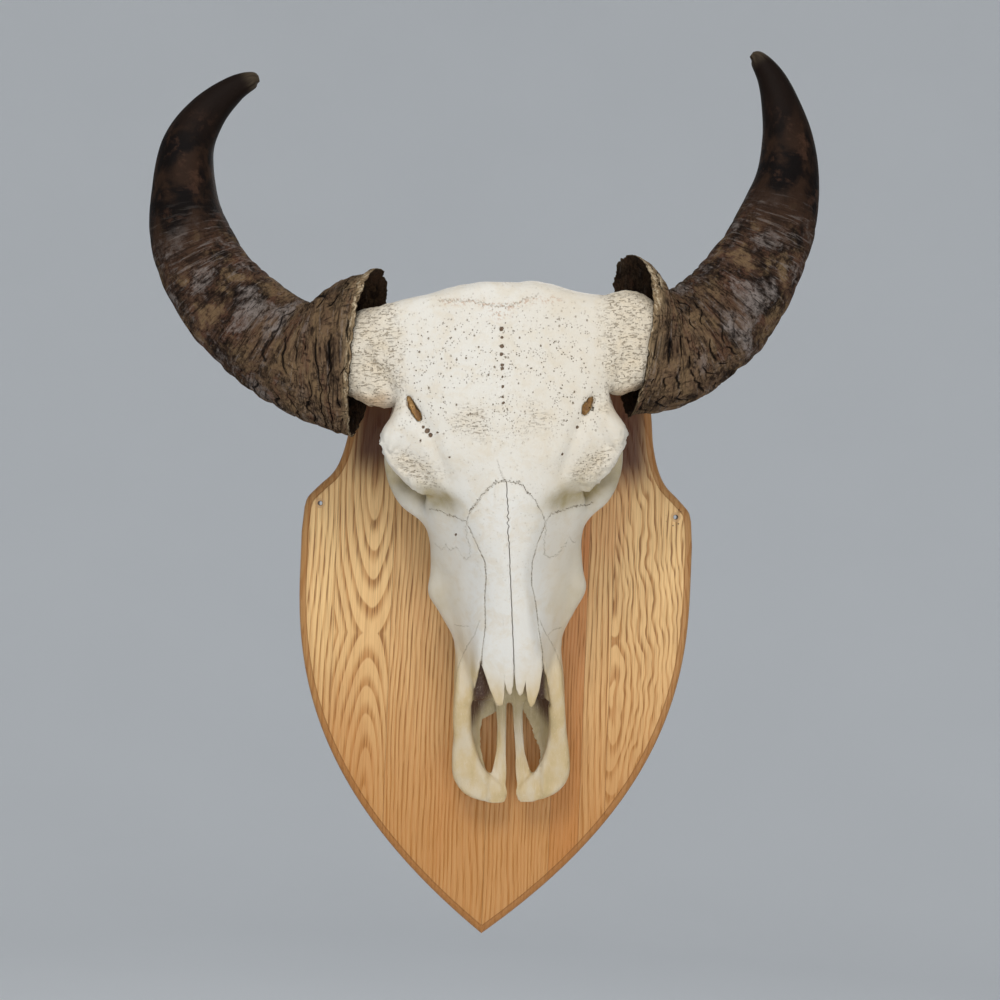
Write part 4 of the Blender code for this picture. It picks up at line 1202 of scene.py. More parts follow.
    def body(self) -> Shape:
        """The cranium and face: masses grown together, hollowed, then worked over in low relief."""
        block = BoneField((-178, -16, 18), (178, 518, 214), self.body_step)
        block.add_sections(self.sections, 122)
        self.block, self.roof = block, block.roof()
        for side in (-1, 1):
            for path, blend in (
                (self.cheek_arch, 8), (self.postorbital_bar, 7), (self.brow, 8), (self.orbit_floor, 10),
                (self.paracondylar, 8), (self.condyle, 6), (self.pterygoid, 6),
            ):
                mirrored = np.array(path, float) * (side, 1, 1, 1)
                block.merge(*block.limb(mirrored), blend)
            block.merge(*block.box_bar(self.palate_shelf, side, 3.0), 4)
            block.merge(*block.box_bar(self.premaxilla, side, 6.0), 7)
            block.merge(*block.box_bar(self.palatine_bar, side, 4.0), 6)
        block.merge(*block.limb(self.skull_base), 10)
        for side in Side:
            path, squash = self.core_path(side)
            block.merge(*block.limb(path[:4], squash), 12)
            block.merge(*block.limb(self.burrs[side]), 9)
        for side in (-1, 1):
            block.carve(*block.ball((side * 107, 168, 151), (48, 30, 27)), 5)
        block.carve(*block.ball((0, 318, 40), (32, 78, 13)), 5)
        block.carve(*block.ball((0, 186, 66), (15, 42, 22)), 5)
        block.carve(*block.ball((0, 78, 132), (44, 56, 44)), 3)
        block.carve(*block.ball((0, 12, 92), (15, 44, 14)), 4)
        block.carve(*block.oval_bar(self.nasal_cavity), 4)
        block.carve(*block.box_bar(self.nostrils[Side.LEFT], -1, 1.0), 2)
        block.carve(*block.box_bar(self.nostrils[Side.RIGHT], 1, 1.0), 2)
        for side in Side:
            block.carve(*block.limb(self.slots[side]), 1.5)
        points, quads = block.skin()
        normals = point_normals(points, quads)
        return self.dressed(self.relief(points, normals), quads, ramp(normals[:, 2], -0.1, 0.35))

    def masks(self, points: Array) -> dict[str, Array]:
        """Where the bone is porous, stained, cool, tan, specked or seamed, each from 0 to 1."""
        across, along, height = points.T
        wide = np.abs(across)
        rough = layered_noise(points / 22, 5)
        crown = ramp(height, 150, 175)
        burr = ramp(wide - 9 * rough, 84, 122) * ramp(along + 10 * rough, 136, 108)
        brow = np.exp(-(((wide - 84) / 21) ** 2) - ((along + 0.55 * wide - 219) / 13) ** 2) * crown
        patches = sum(
            np.exp(-(((across - a) / 15) ** 2) - ((along - s) / 14) ** 2) for a, s in ((-30, 127), (36, 126))
        )
        faint = np.exp(-((across / 46) ** 2) - ((along - 142) / 16) ** 2)
        porous = burr + 0.95 * brow + 0.80 * patches * (0.8 + 0.6 * rough) + 0.25 * faint
        porous = np.clip(porous + 0.16 * crown * ramp(rough, 0.0, 0.7), 0, 1)
        fossa = np.exp(-(((wide - 66) / 25) ** 2) - ((along - 202 + 0.28 * (wide - 66)) / 11.5) ** 2)
        fossa = fossa * (0.80 + 0.60 * ramp(across, -20, 20)) * (0.9 + 0.5 * rough)
        socket = ramp(wide, 66, 82) * ramp(height, 176, 160) * np.exp(-(((along - 176) / 26) ** 2))
        under = ramp(height, 150, 110) * 0.5 * ramp(along, 330, 300)
        olive = np.clip(0.95 * fossa + 0.55 * socket + 0.35 * under, 0, 1)
        amber = 0.95 * ramp(height + 6 * rough, 166, 142) + 0.55 * ramp(along + 7 * rough, 92, 108)
        amber = np.clip(amber, 0, 0.95) * ramp(wide, 98, 118) * ramp(along, 136, 118)
        inside = ramp(wide, 38.5, 34.0) * ramp(height, 116, 104)
        inside = inside * ramp(along, 300, 330) * ramp(along, 446, 408)
        olive = np.clip(olive + 0.7 * inside, 0, 1)
        snout = ramp(along, 330, 400) * ramp(height, 150, 120)
        snout = snout + 0.30 * ramp(along, 250, 330) * ramp(height, 145, 105)
        warm = 0.2 + 0.5 * ramp(across, -10, 70) + 0.4 * ramp(along, 215, 270) * ramp(wide, 30, 48)
        crest = 15 + 6 * np.exp(-((across / 22) ** 2))
        return {
            "porous": porous, "olive": olive, "amber": amber,
            "specks": crown * ramp(wide, 116, 84) * (0.25 + 0.75 * ramp(np.abs(along - 84), 76, 34)),
            "seam": np.zeros(len(points)),
            "cool": 0.5 + 0.5 * ramp(along, 175, 215) * ramp(wide, 62, 36) - 0.35 * burr,
            "warm": np.clip(warm, 0, 1),
            "tan": np.clip(snout, 0, 1), "blood": 0.97 * inside * self.nose_depth(wide, along),
            "slot": self.slot_nearness(across, along) * crown,
            "rust": np.exp(-((across / 9) ** 2) - ((along - 28) / 7) ** 2)
            + 0.9 * np.exp(-((along - crest) / 3.5) ** 2) * ramp(wide, 66, 50),
        }

    @staticmethod
    def nose_depth(wide: Array, along: Array) -> Array:
        """1 deep in the nose and 0 outside it. The dark reaches farther out along the side walls."""
        return ramp(along - 1.5 * (wide - 20), 416, 392)

    def slot_nearness(self, across: Array, along: Array) -> Array:
        """How near each place is to the line of a brow slot: 1 on the line, 0.5 at the slot's own radius."""
        nearest = np.full(across.shape, 2.0)
        for path in self.slots.values():
            rows = eased(path, 9)
            for start, end in zip(rows, rows[1:]):
                d = (end - start)[:2]
                t = np.clip(((across - start[0]) * d[0] + (along - start[1]) * d[1]) / float(d @ d), 0, 1)
                off = np.hypot(across - start[0] - t * d[0], along - start[1] - t * d[1])
                nearest = np.minimum(nearest, off / (start[3] + t * (end[3] - start[3])))
        return 1 - nearest / 2.0

    def relief(self, points: Array, normals: Array) -> Array:
        """Low relief on the bone: grooves below the brow slots, lacrimal hollows, a bed for the nasal bones,
        lumps and pits where the bone is porous, and a gentle unevenness everywhere."""
        across, along, height = points.T
        wide = np.abs(across)
        crown = ramp(normals[:, 2], 0.2, 0.6)
        groove_at = np.interp(along, [100, 118, 140, 165, 190], [92, 84, 71, 62, 54])
        groove = np.exp(-(((wide - groove_at) / 7) ** 2)) * ramp(along, 98, 116) * ramp(along, 200, 172)
        fossa = np.exp(-(((wide - 66) / 19) ** 2) - ((along - 205 + 0.28 * (wide - 66)) / 9) ** 2)
        porous = self.masks(points)["porous"]
        lumps = layered_noise(points / 5.0, 11, 3)
        uneven = layered_noise(points / 28, 3, 2)
        poll = ramp(along, 12, 0) * ramp(wide, 90, 70) * ramp(height, 150, 175)
        off_rim = 0.803 * (wide - 117) + 0.595 * (along - 142) - 2
        rims = np.exp(-((off_rim / 7) ** 2)) * ramp(along, 126, 142) * ramp(along, 204, 192)
        rims = rims * ramp(height, 148, 160)
        coral = sum(
            np.exp(-(((across - a) / 11) ** 2) - ((along - s) / w) ** 2)
            for a, s, w in ((-126, 70, 34), (124, 16, 11), (132, 80, 14), (122, 90, 10), (-124, 102, 10))
        )
        bed = self.nasal_bed(across, along) * crown
        lift = crown * (-3.0 * groove - 5.4 * fossa) + 0.5 * uneven + 0.9 * porous * lumps
        lift = lift + poll * (1.6 * lattice_noise(points / 16, 17) + 0.6)
        lift = lift + 2.4 * rims * layered_noise(points / 4.5, 19, 2)
        lift = lift + np.clip(coral, 0, 1) * (2.6 * layered_noise(points / 7.5, 15, 3) + 1.2)
        return points + normals * lift[:, None] - np.array([0, 0, 1]) * (3.6 * bed)[:, None]

    def nasal_bed(self, across: Array, along: Array) -> Array:
        """1 under the nasal bones and 0 outside them, with a step a few millimetres wide."""
        left, right = self.nasal_edges(along)
        arch = self.nasal_arch(across)
        return ramp(across - left, 1.0, 4.2) * ramp(right - across, 1.0, 4.2) * ramp(along - arch, 1.0, 4.2)

    @staticmethod
    def nasal_edges(along: Array) -> tuple[Array, Array]:
        """How far left and right the nasal bones reach at each place along the skull."""
        return tuple(np.interp(along, *np.array(table, float).T) for table in (NASAL_LEFT, NASAL_RIGHT))

    @staticmethod
    def nasal_arch(across: Array) -> Array:
        """Where the nasal bones begin along the skull, at each place across it."""
        return np.interp(across, [-37, -35, -28, -20, -10, 0.5, 14, 20, 29, 38],
                         [229, 217, 209, 198, 189, 187, 189, 197, 208, 229])

    def dressed(self, points: Array, quads: Array, upper: Array | float = 0.0) -> Shape:
        """A surface of the skull's frame with its marks, put where the skull hangs.

        Args:
            points: its points, as across, along and height.
            quads: its quads.
            upper: 1 where the surface looks outwards, which is where the sutures are drawn.

        Returns:
            The surface in the row frame.
        """
        marks = {"skull_place": points, "upper": upper + np.zeros(len(points)), **self.masks(points)}
        return Shape(self.place.to_row(points), quads, marks)

    def nasal_bone(self, side: Side) -> Shape:
        """One nasal bone: a thin arched plate from the frontal arch to two prongs over the nose.

        `u` runs along from the arch to the prongs and `v` from the midline to the outer edge. The arch edge
        and the midline wander by a millimetre, so the seams look grown.
        """
        u, v = np.meshgrid(np.linspace(0, 1, 300), np.linspace(0, 1, 101), indexing="ij")
        first = np.interp(v, [0, 1], [0.5, 37 if side is Side.RIGHT else -36])
        arch = self.nasal_arch(first)
        if side is Side.RIGHT:
            tip = np.interp(v, [0, 0.04, 0.10, 0.18, 0.26, 0.33, 0.38, 0.42, 0.47, 0.52, 0.60, 0.70, 0.87, 1],
                            [372, 388, 395.5, 397.7, 396, 391, 384, 398, 405, 408.5, 409.3, 405.6, 392, 371])
        else:
            tip = np.interp(
                v, [0, 0.04, 0.09, 0.15, 0.21, 0.26, 0.30, 0.33, 0.37, 0.48, 0.57, 0.64, 0.76, 0.88, 1],
                [372, 387, 394.5, 396.7, 395, 390, 383, 399, 406, 407.5, 406.5, 401, 391, 378, 366],
            )
        along = arch + (tip - arch) * u**0.97
        places = np.stack([first / 1.6, v * 0, v * 0], -1).reshape(-1, 3)
        zigzag = 0.9 * lattice_noise(places, 21).reshape(u.shape)
        along = along + (1 - u) ** 8 * (zigzag + 0.9)
        left, right = self.nasal_edges(along)
        middle = np.interp(along, [187, 211, 258, 319, 371, 406], [0.6, 2, 3, 4.3, 5.2, 5.2])
        wander = lattice_noise(np.stack([along / 3.2, v * 0, v * 0], -1).reshape(-1, 3), 31).reshape(u.shape)
        middle = middle + (0.3 + 0.9 * ramp(along, 262, 215)) * wander
        edge = right if side is Side.RIGHT else left
        across = middle + side.value * 0.10 + (edge - middle - side.value * 0.10) * v
        top = np.interp(along, [186, 200, 228, 250, 270, 310, 350, 370, 392, 408],
                        [203.6, 201.6, 193.5, 186.3, 179.3, 164.3, 149.3, 141.3, 133, 127.5])
        fall = np.interp(along, [186, 200, 228, 270, 370, 408], [2, 5, 9.5, 7.5, 7, 4.5])
        centre, reach = (left + right) / 2, (right - left) / 2
        height = top - fall * ((across - centre) / reach) ** 2
        bone = self.block.over(self.roof, across, along) + 0.45
        grown = np.maximum(ramp(v, 0.55, 1.0), ramp(u, 0.10, 0.0)) * ramp(along, 372, 345)
        height = height + (bone - height) * grown
        near = np.minimum(np.minimum(v, 1 - v) * np.abs(edge - middle), np.minimum(u, 1 - u) * (tip - arch))
        free = ramp(along, 350, 380)
        rounded = (0.35 + 0.75 * free) * (1 - ramp(near, 0, 0.9 + 1.3 * free))
        places = np.stack([across, along, height], -1).reshape(-1, 3) / 16
        uneven = layered_noise(places, 41, 2).reshape(u.shape)
        thick = np.interp(along, [187, 300, 370, 408], [3.6, 3.6, 3.2, 2.0])
        upper = np.stack([across, along, height - rounded + 0.25 * uneven], -1)
        lower = np.stack([across, along, height - thick + 0.5 * rounded], -1)
        shape = slab(upper, lower)
        points = shape.points
        shape = self.dressed(points, shape.quads, 1.0)
        beside = np.concatenate([(v * np.abs(edge - middle)).ravel()] * 2)
        shape.marks["seam"] = (1 - ramp(beside, 0.05, 0.55)) * ramp(points[:, 1], 395, 370)
        return shape

    def inner_sheet(self, side: Side) -> Shape:
        """The nose's thin floor, from the palate bar to the premaxilla, with a broken inner edge.

        `u` runs along the skull and `v` from the broken edge to the premaxilla, where the sheet curves up.
        """
        u, v = np.meshgrid(np.linspace(0, 1, 220), np.linspace(0, 1, 40), indexing="ij")
        edge = np.array(self.sheet_edges[side], float)
        along = edge[0, 0] + (edge[-1, 0] - edge[0, 0]) * u
        places = np.stack([along / 3.0, v * 0, v * 0], -1).reshape(-1, 3)
        ragged = layered_noise(places, 51, 3).reshape(u.shape)
        power = 1.1 if side is Side.RIGHT else 0.5
        first = np.interp(along, edge[:, 0], edge[:, 1]) + power * ragged * ramp(along, 405, 425)
        last = np.interp(along, [366, 380, 415, 440, 460, 480, 491], [31, 33, 42, 41, 38, 30, 20])
        across = first + (last - first) * v
        places = np.stack([across, along, v * 0], -1).reshape(-1, 3) / 9
        uneven = layered_noise(places, 52, 2).reshape(u.shape)
        height = 53 + 3.0 * ramp(along, 420, 392) + 16 * ramp(across, 27, 41) ** 1.5 + 0.5 * uneven
        height = height - 2.0 * ramp(along, 455, 489)
        thick = 1.6
        upper = np.stack([side.value * across, along, height], -1)
        lower = np.stack([side.value * across, along, height - thick], -1)
        shape = slab(upper, lower)
        across_of, along_of = np.abs(shape.points[:, 0]), shape.points[:, 1]
        shape = self.dressed(shape.points, shape.quads)
        shape.marks["olive"] = 0.55 + 0.3 * ramp(along_of, 440, 400)
        shape.marks["tan"] = np.full(len(shape.points), 0.8)
        shape.marks["blood"] = 0.95 * self.nose_depth(across_of, along_of)
        return shape

    def teeth(self, side: Side) -> Shape:
        """One row of cheek teeth: folded crowns that taper to the root, with ridged chewing faces."""
        front, shapes = self.teeth_start, []
        for k, length in enumerate(self.tooth_lengths):
            middle = front - length / 2
            across = 43 + 5 * math.sin(math.pi * (self.teeth_start - middle) / 280)
            width = 13 + 0.34 * length
            heights, turns = np.linspace(0, 1, 34), np.linspace(0, 2 * np.pi, 72, endpoint=False)
            t, a = np.meshgrid(heights, turns, indexing="ij")
            folds = 1 + 0.055 * np.cos(4 * a + 0.5) + 0.03 * np.cos(7 * a)
            power = 0.62
            cx = np.sign(np.cos(a)) * np.abs(np.cos(a)) ** power * width / 2 * folds
            cs = np.sign(np.sin(a)) * np.abs(np.sin(a)) ** power * (length - 1.2) / 2 * folds
            crown = ramp(t, 0.0, 0.36)
            swell = 0.90 + 0.10 * ramp(t, 0.34, 0.60) - 0.06 * ramp(t, 0.75, 1)
            ridge = 1.5 * np.cos(crown * np.pi * 3.0) * ramp(t, 0.36, 0.30)
            height = self.rest_height + 1.6 - ridge + 42 * ramp(t, 0.30, 1.0)
            scale = np.maximum(crown * swell, 0.03)
            rings = np.stack([side.value * across + side.value * cx * scale, middle + cs * scale, height], -1)
            shapes.append(tube(rings))
            front -= length
        whole = Shape.joined(shapes)
        dressed = self.dressed(whole.points, whole.quads)
        height = whole.points[:, 2]
        dressed.marks["amber"] = 0.45 * ramp(height, 30, 45) + 0.15
        dressed.marks["porous"] = np.zeros(len(height))
        dressed.marks["seam"] = 0.5 * ramp(height, 23.0, 20.6)
        return dressed

    def core_end(self, side: Side) -> Shape:
        """The far part of a horn core, hidden in its sheath, as ovals carried along the core's path."""
        rows = eased(np.array(self.cores[side])[2:], 60)
        centres = np.column_stack([rows[:, 0], -rows[:, 2], rows[:, 1]])
        ahead = np.gradient(centres, axis=0)
        ahead /= np.linalg.norm(ahead, axis=1)[:, None]
        cross = np.cross(ahead, (0.0, -1.0, 0.0))
        cross /= np.linalg.norm(cross, axis=1)[:, None]
        a = np.linspace(0, 2 * np.pi, 64, endpoint=False)
        wide, deep = rows[:, 3, None, None] - 0.8, rows[:, 4, None, None] - 0.8
        out = np.cross(cross, ahead)
        rings = centres[:, None] + wide * np.cos(a)[None, :, None] * cross[:, None]
        rings = rings + deep * np.sin(a)[None, :, None] * out[:, None]
        noise = layered_noise(rings.reshape(-1, 3) / 8, 61, 2).reshape(rings.shape[:2])
        rings = rings + 0.5 * noise[..., None] * (rings - centres[:, None]) / wide
        shape = tube(rings)
        place = self.place.to_skull(shape.points)
        marks = {**self.masks(place), "skull_place": place}
        marks["porous"] = np.full(len(place), 0.9)
        return Shape(shape.points, shape.quads, marks)

    def build(self, bone: bpy.types.Material) -> None:
        """Makes every piece of the skull."""
        add_piece("skull_bone", self.body(), bone, "skull")
        for side in Side:
            name = side.name.lower()
            add_piece(f"nasal_bone_{name}", self.nasal_bone(side), bone, "skull")
            add_piece(f"nose_floor_{name}", self.inner_sheet(side), bone, "skull")
            add_piece(f"cheek_teeth_{name}", self.teeth(side), bone, "skull")
            add_piece(f"horn_core_{name}", self.core_end(side), bone, "skull")


# The horn sheaths


@dataclass
class HornSheath:
    """A hollow horn with growth rings, cracks that follow the rim, flakes at the base and a smooth tip."""

    side: Side
    stations: tuple
    core: tuple
    lip: tuple[float, float]
    seed: int
    rows: int = 330
    around: int = 216
    fullness: float = 0.86
    walls: tuple[float, ...] = (4.0, 4.5, 6.0, 8.0)
    core_gap: float = 4.0
    bottom_part: float = 0.2

    def axes(self, rows: Array) -> tuple[Array, ...]:
        """Centres, way ahead, way across and way out at each station."""
        centres = np.column_stack([rows[:, 0], -rows[:, 2], rows[:, 1]])
        ahead = np.gradient(centres, axis=0)
        ahead /= np.linalg.norm(ahead, axis=1)[:, None]
        across = np.cross(ahead, (0.0, -1.0, 0.0))
        across /= np.linalg.norm(across, axis=1)[:, None]
        return centres, ahead, across, np.cross(across, ahead)

    def rings(self, table: Any, steps: Array, before: float, angle: Array, push: Array | float) -> Array:
        """Full ovals along a table, sheared near the rim by the lip's lean and pushed out by `push`.

        Args:
            table: stations of X, Z, out, half across and half out.
            steps: where the rings lie, in stations.
            before: how many stations lie ahead of the rim.
            angle: places round the horn.
            push: how far each point moves away from the axis.

        Returns:
            The points, as (ring, place round it, xyz).
        """
        dense = eased(table, 40 * (len(table) - 1) + 1)
        at = np.linspace(0, len(table) - 1, len(dense))
        rows = np.stack([np.interp(steps, at, dense[:, k]) for k in range(5)], axis=1)
        centres, ahead, across, out = self.axes(rows)
        full_cos = np.sign(np.cos(angle)) * np.abs(np.cos(angle)) ** self.fullness
        full_sin = np.sign(np.sin(angle)) * np.abs(np.sin(angle)) ** self.fullness
        side_way = rows[:, 3, None] * full_cos + push * np.cos(angle)
        out_way = rows[:, 4, None] * full_sin + push * np.sin(angle)
        fading = np.clip(1 - (steps - before) / 2.5, 0, 1)[:, None]
        up = np.sign(across[:, 2])[:, None]
        back_part = self.bottom_part + (1 - self.bottom_part) * (0.5 + 0.5 * up * side_way / rows[:, 3, None])
        lean = fading * (self.lip[0] * back_part * out_way - self.lip[1] * up * side_way)
        return (
            centres[:, None] + across[:, None] * side_way[..., None] + out[:, None] * out_way[..., None]
            + ahead[:, None] * lean[..., None]
        )

    def shape(self) -> Shape:
        """The sheath's closed skin: up the outside from the rim to the tip, and back down the hollow."""
        count = len(self.stations) - 1
        u = np.linspace(0, 1, self.rows)
        steps = count * (0.55 * u + 0.45 * u**2.2)
        angle = np.linspace(0, 2 * np.pi, self.around, endpoint=False)
        dense = eased(self.stations, 40 * count + 1)[:, :3]
        length = np.concatenate([[0], np.cumsum(np.linalg.norm(np.diff(dense, axis=0), axis=1))])
        run_mm = np.interp(steps, np.linspace(0, count, len(dense)), length)[:, None] + 0 * angle
        run = run_mm / length[-1]
        round_place = np.stack([run_mm, 40 * np.cos(angle) + 0 * run_mm, 40 * np.sin(angle) + 0 * run_mm], -1)
        flat = round_place.reshape(-1, 3)

        def noise(scale: Triple, seed: int, layers: int = 3) -> Array:
            """Layered noise on the horn's own coordinates, with a cell of this size in millimetres."""
            return layered_noise(flat / np.array(scale), self.seed + seed, layers).reshape(run.shape)

        wave = noise((70, 30, 30), 1)
        phase = run_mm / (11 + 12 * run) + 0.9 * wave
        ring = np.abs(np.sin(np.pi * phase)) ** 0.7
        ring_power = 1.5 * ramp(run, 0.02, 0.22) * ramp(run, 0.66, 0.40) + 0.5 * ramp(run, 0.4, 0.0)
        lumps = noise((26, 18, 18), 2) * (1.3 * ramp(run, 0.7, 0.35) + 0.15)
        base = ramp(run, 0.36, 0.10)
        growth = run_mm / 12.5 + 0.9 * noise((60, 20, 20), 3)
        open_part = ramp(noise((34, 11, 11), 4), -0.30, 0.15) * base
        crack = ramp(np.abs(growth - np.round(growth)), 0.16, 0.0) * open_part
        long_line = np.abs(noise((60, 5, 5), 5))
        split = 0.7 * ramp(long_line, 0.09, 0.0) * ramp(noise((20, 14, 14), 6), 0.0, 0.4) * base
        crack = np.maximum(crack, split)
        flakes = noise((9, 12, 12), 7)
        terrace = (np.floor(flakes * 3) / 3) * base
        push = ring_power * (ring - 0.7) + lumps + 1.0 * terrace - 1.7 * crack - 0.6 * ramp(run, 0.05, 0.0)
        push = push * ramp(run, 1.0, 0.93)
        outer = self.rings(self.stations, steps, 0, angle, push)
        jag = 2.6 * noise((1e6, 7, 7), 8, 3)[:1] + 1.2 * noise((1e6, 2.2, 2.2), 9, 2)[:1]
        ahead = (outer[3] - outer[0])
        ahead /= np.linalg.norm(ahead, axis=-1, keepdims=True)
        pull = (jag[0][None, :] + 2.0) * ramp(run[:14], 0.05, 0.0)
        outer[:14] += ahead[None] * np.maximum(pull, 0)[..., None]
        inner_table, inner_steps = self.hollow()
        inner = self.rings(inner_table, inner_steps, 1, angle, 0.5 * noise((30, 12, 12), 10)[:1])
        inner[0] = outer[0] * 0.72 + inner[0] * 0.28
        inner[1] = outer[0] * 0.25 + inner[1] * 0.75
        rings = np.concatenate([outer[::-1], inner])
        hollow = np.zeros(inner.shape[:2])
        marks = {
            "run": np.concatenate([run[::-1], hollow + 0.05]),
            "crack": np.concatenate([open_part[::-1], hollow]),
            "growth": np.concatenate([growth[::-1], hollow + 0.5]),
            "inside": np.concatenate([np.zeros(run.shape), hollow + 1.0]),
            "flaky": np.concatenate([np.clip(base + 0.25 * lumps, 0, 1)[::-1], hollow + 0.5]),
            "tip": np.concatenate([ramp(run, 0.955, 0.99)[::-1], hollow]),
            "rim": np.concatenate([ramp(run_mm + 6 * lumps, 17, 4)[::-1], hollow]),
            "horn_place": np.concatenate([round_place[::-1], inner + 500.0]),
        }
        return tube(rings, marks)

    def hollow(self) -> tuple[Array, Array]:
        """The hollow's stations, and its rings: the wall in from the outside, a gap round the core."""
        rows = [(*row[:3], row[3] - wall, row[4] - wall) for row, wall in zip(self.stations, self.walls)]
        rows += [(*row[:3], row[3] + self.core_gap, row[4] + self.core_gap) for row in self.core[5:]]
        mouth = 2 * np.array(rows[0]) - np.array(rows[1])
        tip = (*(np.array(rows[-1][:3]) + 0.3 * (np.array(rows[-1]) - np.array(rows[-2]))[:3]), 5, 4)
        table = np.array([tuple(mouth), *rows, tip])
        return table, np.linspace(1.03, len(table) - 1, 46)


@dataclass
class Horns:
    """Both sheaths."""

    skull: Skull

    left: tuple = (
        (-133, 148, 152, 79, 45), (-156, 144, 151, 74, 45), (-184, 141, 147, 62, 43),
        (-208, 146, 144, 53, 41), (-237, 163, 140, 50, 39), (-267, 188, 135, 47, 38),
        (-294, 220, 130, 43, 36), (-313, 259, 126, 39, 34), (-321, 300, 121, 32, 28),
        (-320, 345, 117, 26, 23), (-304, 379, 115, 19.5, 18), (-279, 405, 113, 13, 12.5),
        (-260, 416, 112, 8.5, 8.5), (-253, 418, 112, 3, 3),
    )
    right: tuple = (
        (122, 174, 152, 75, 46), (147, 166, 150, 63, 45), (167, 167, 147, 57, 43), (189, 179, 144, 52, 41),
        (211, 200, 141, 50, 40), (231, 226, 137, 47, 38), (249, 258, 132, 43, 36), (264, 299, 127, 38, 34),
        (272, 339, 122, 31, 28), (271, 377, 118, 25, 23), (263, 412, 115, 18.5, 18),
        (253, 438, 113, 13.5, 13),
        (240, 456, 112, 8.5, 8.5), (233, 461, 112, 3, 3),
    )

    def build(self, horn: bpy.types.Material) -> None:
        """Makes the two sheaths."""
        cores = self.skull.cores
        for sheath in (
            HornSheath(Side.LEFT, self.left, cores[Side.LEFT], (0.33, 0.30), 100),
            HornSheath(Side.RIGHT, self.right, cores[Side.RIGHT], (0.48, 0.34), 200),
        ):
            name = f"horn_sheath_{sheath.side.name.lower()}"
            add_piece(name + "_skin", sheath.shape(), horn, name)


# The shield


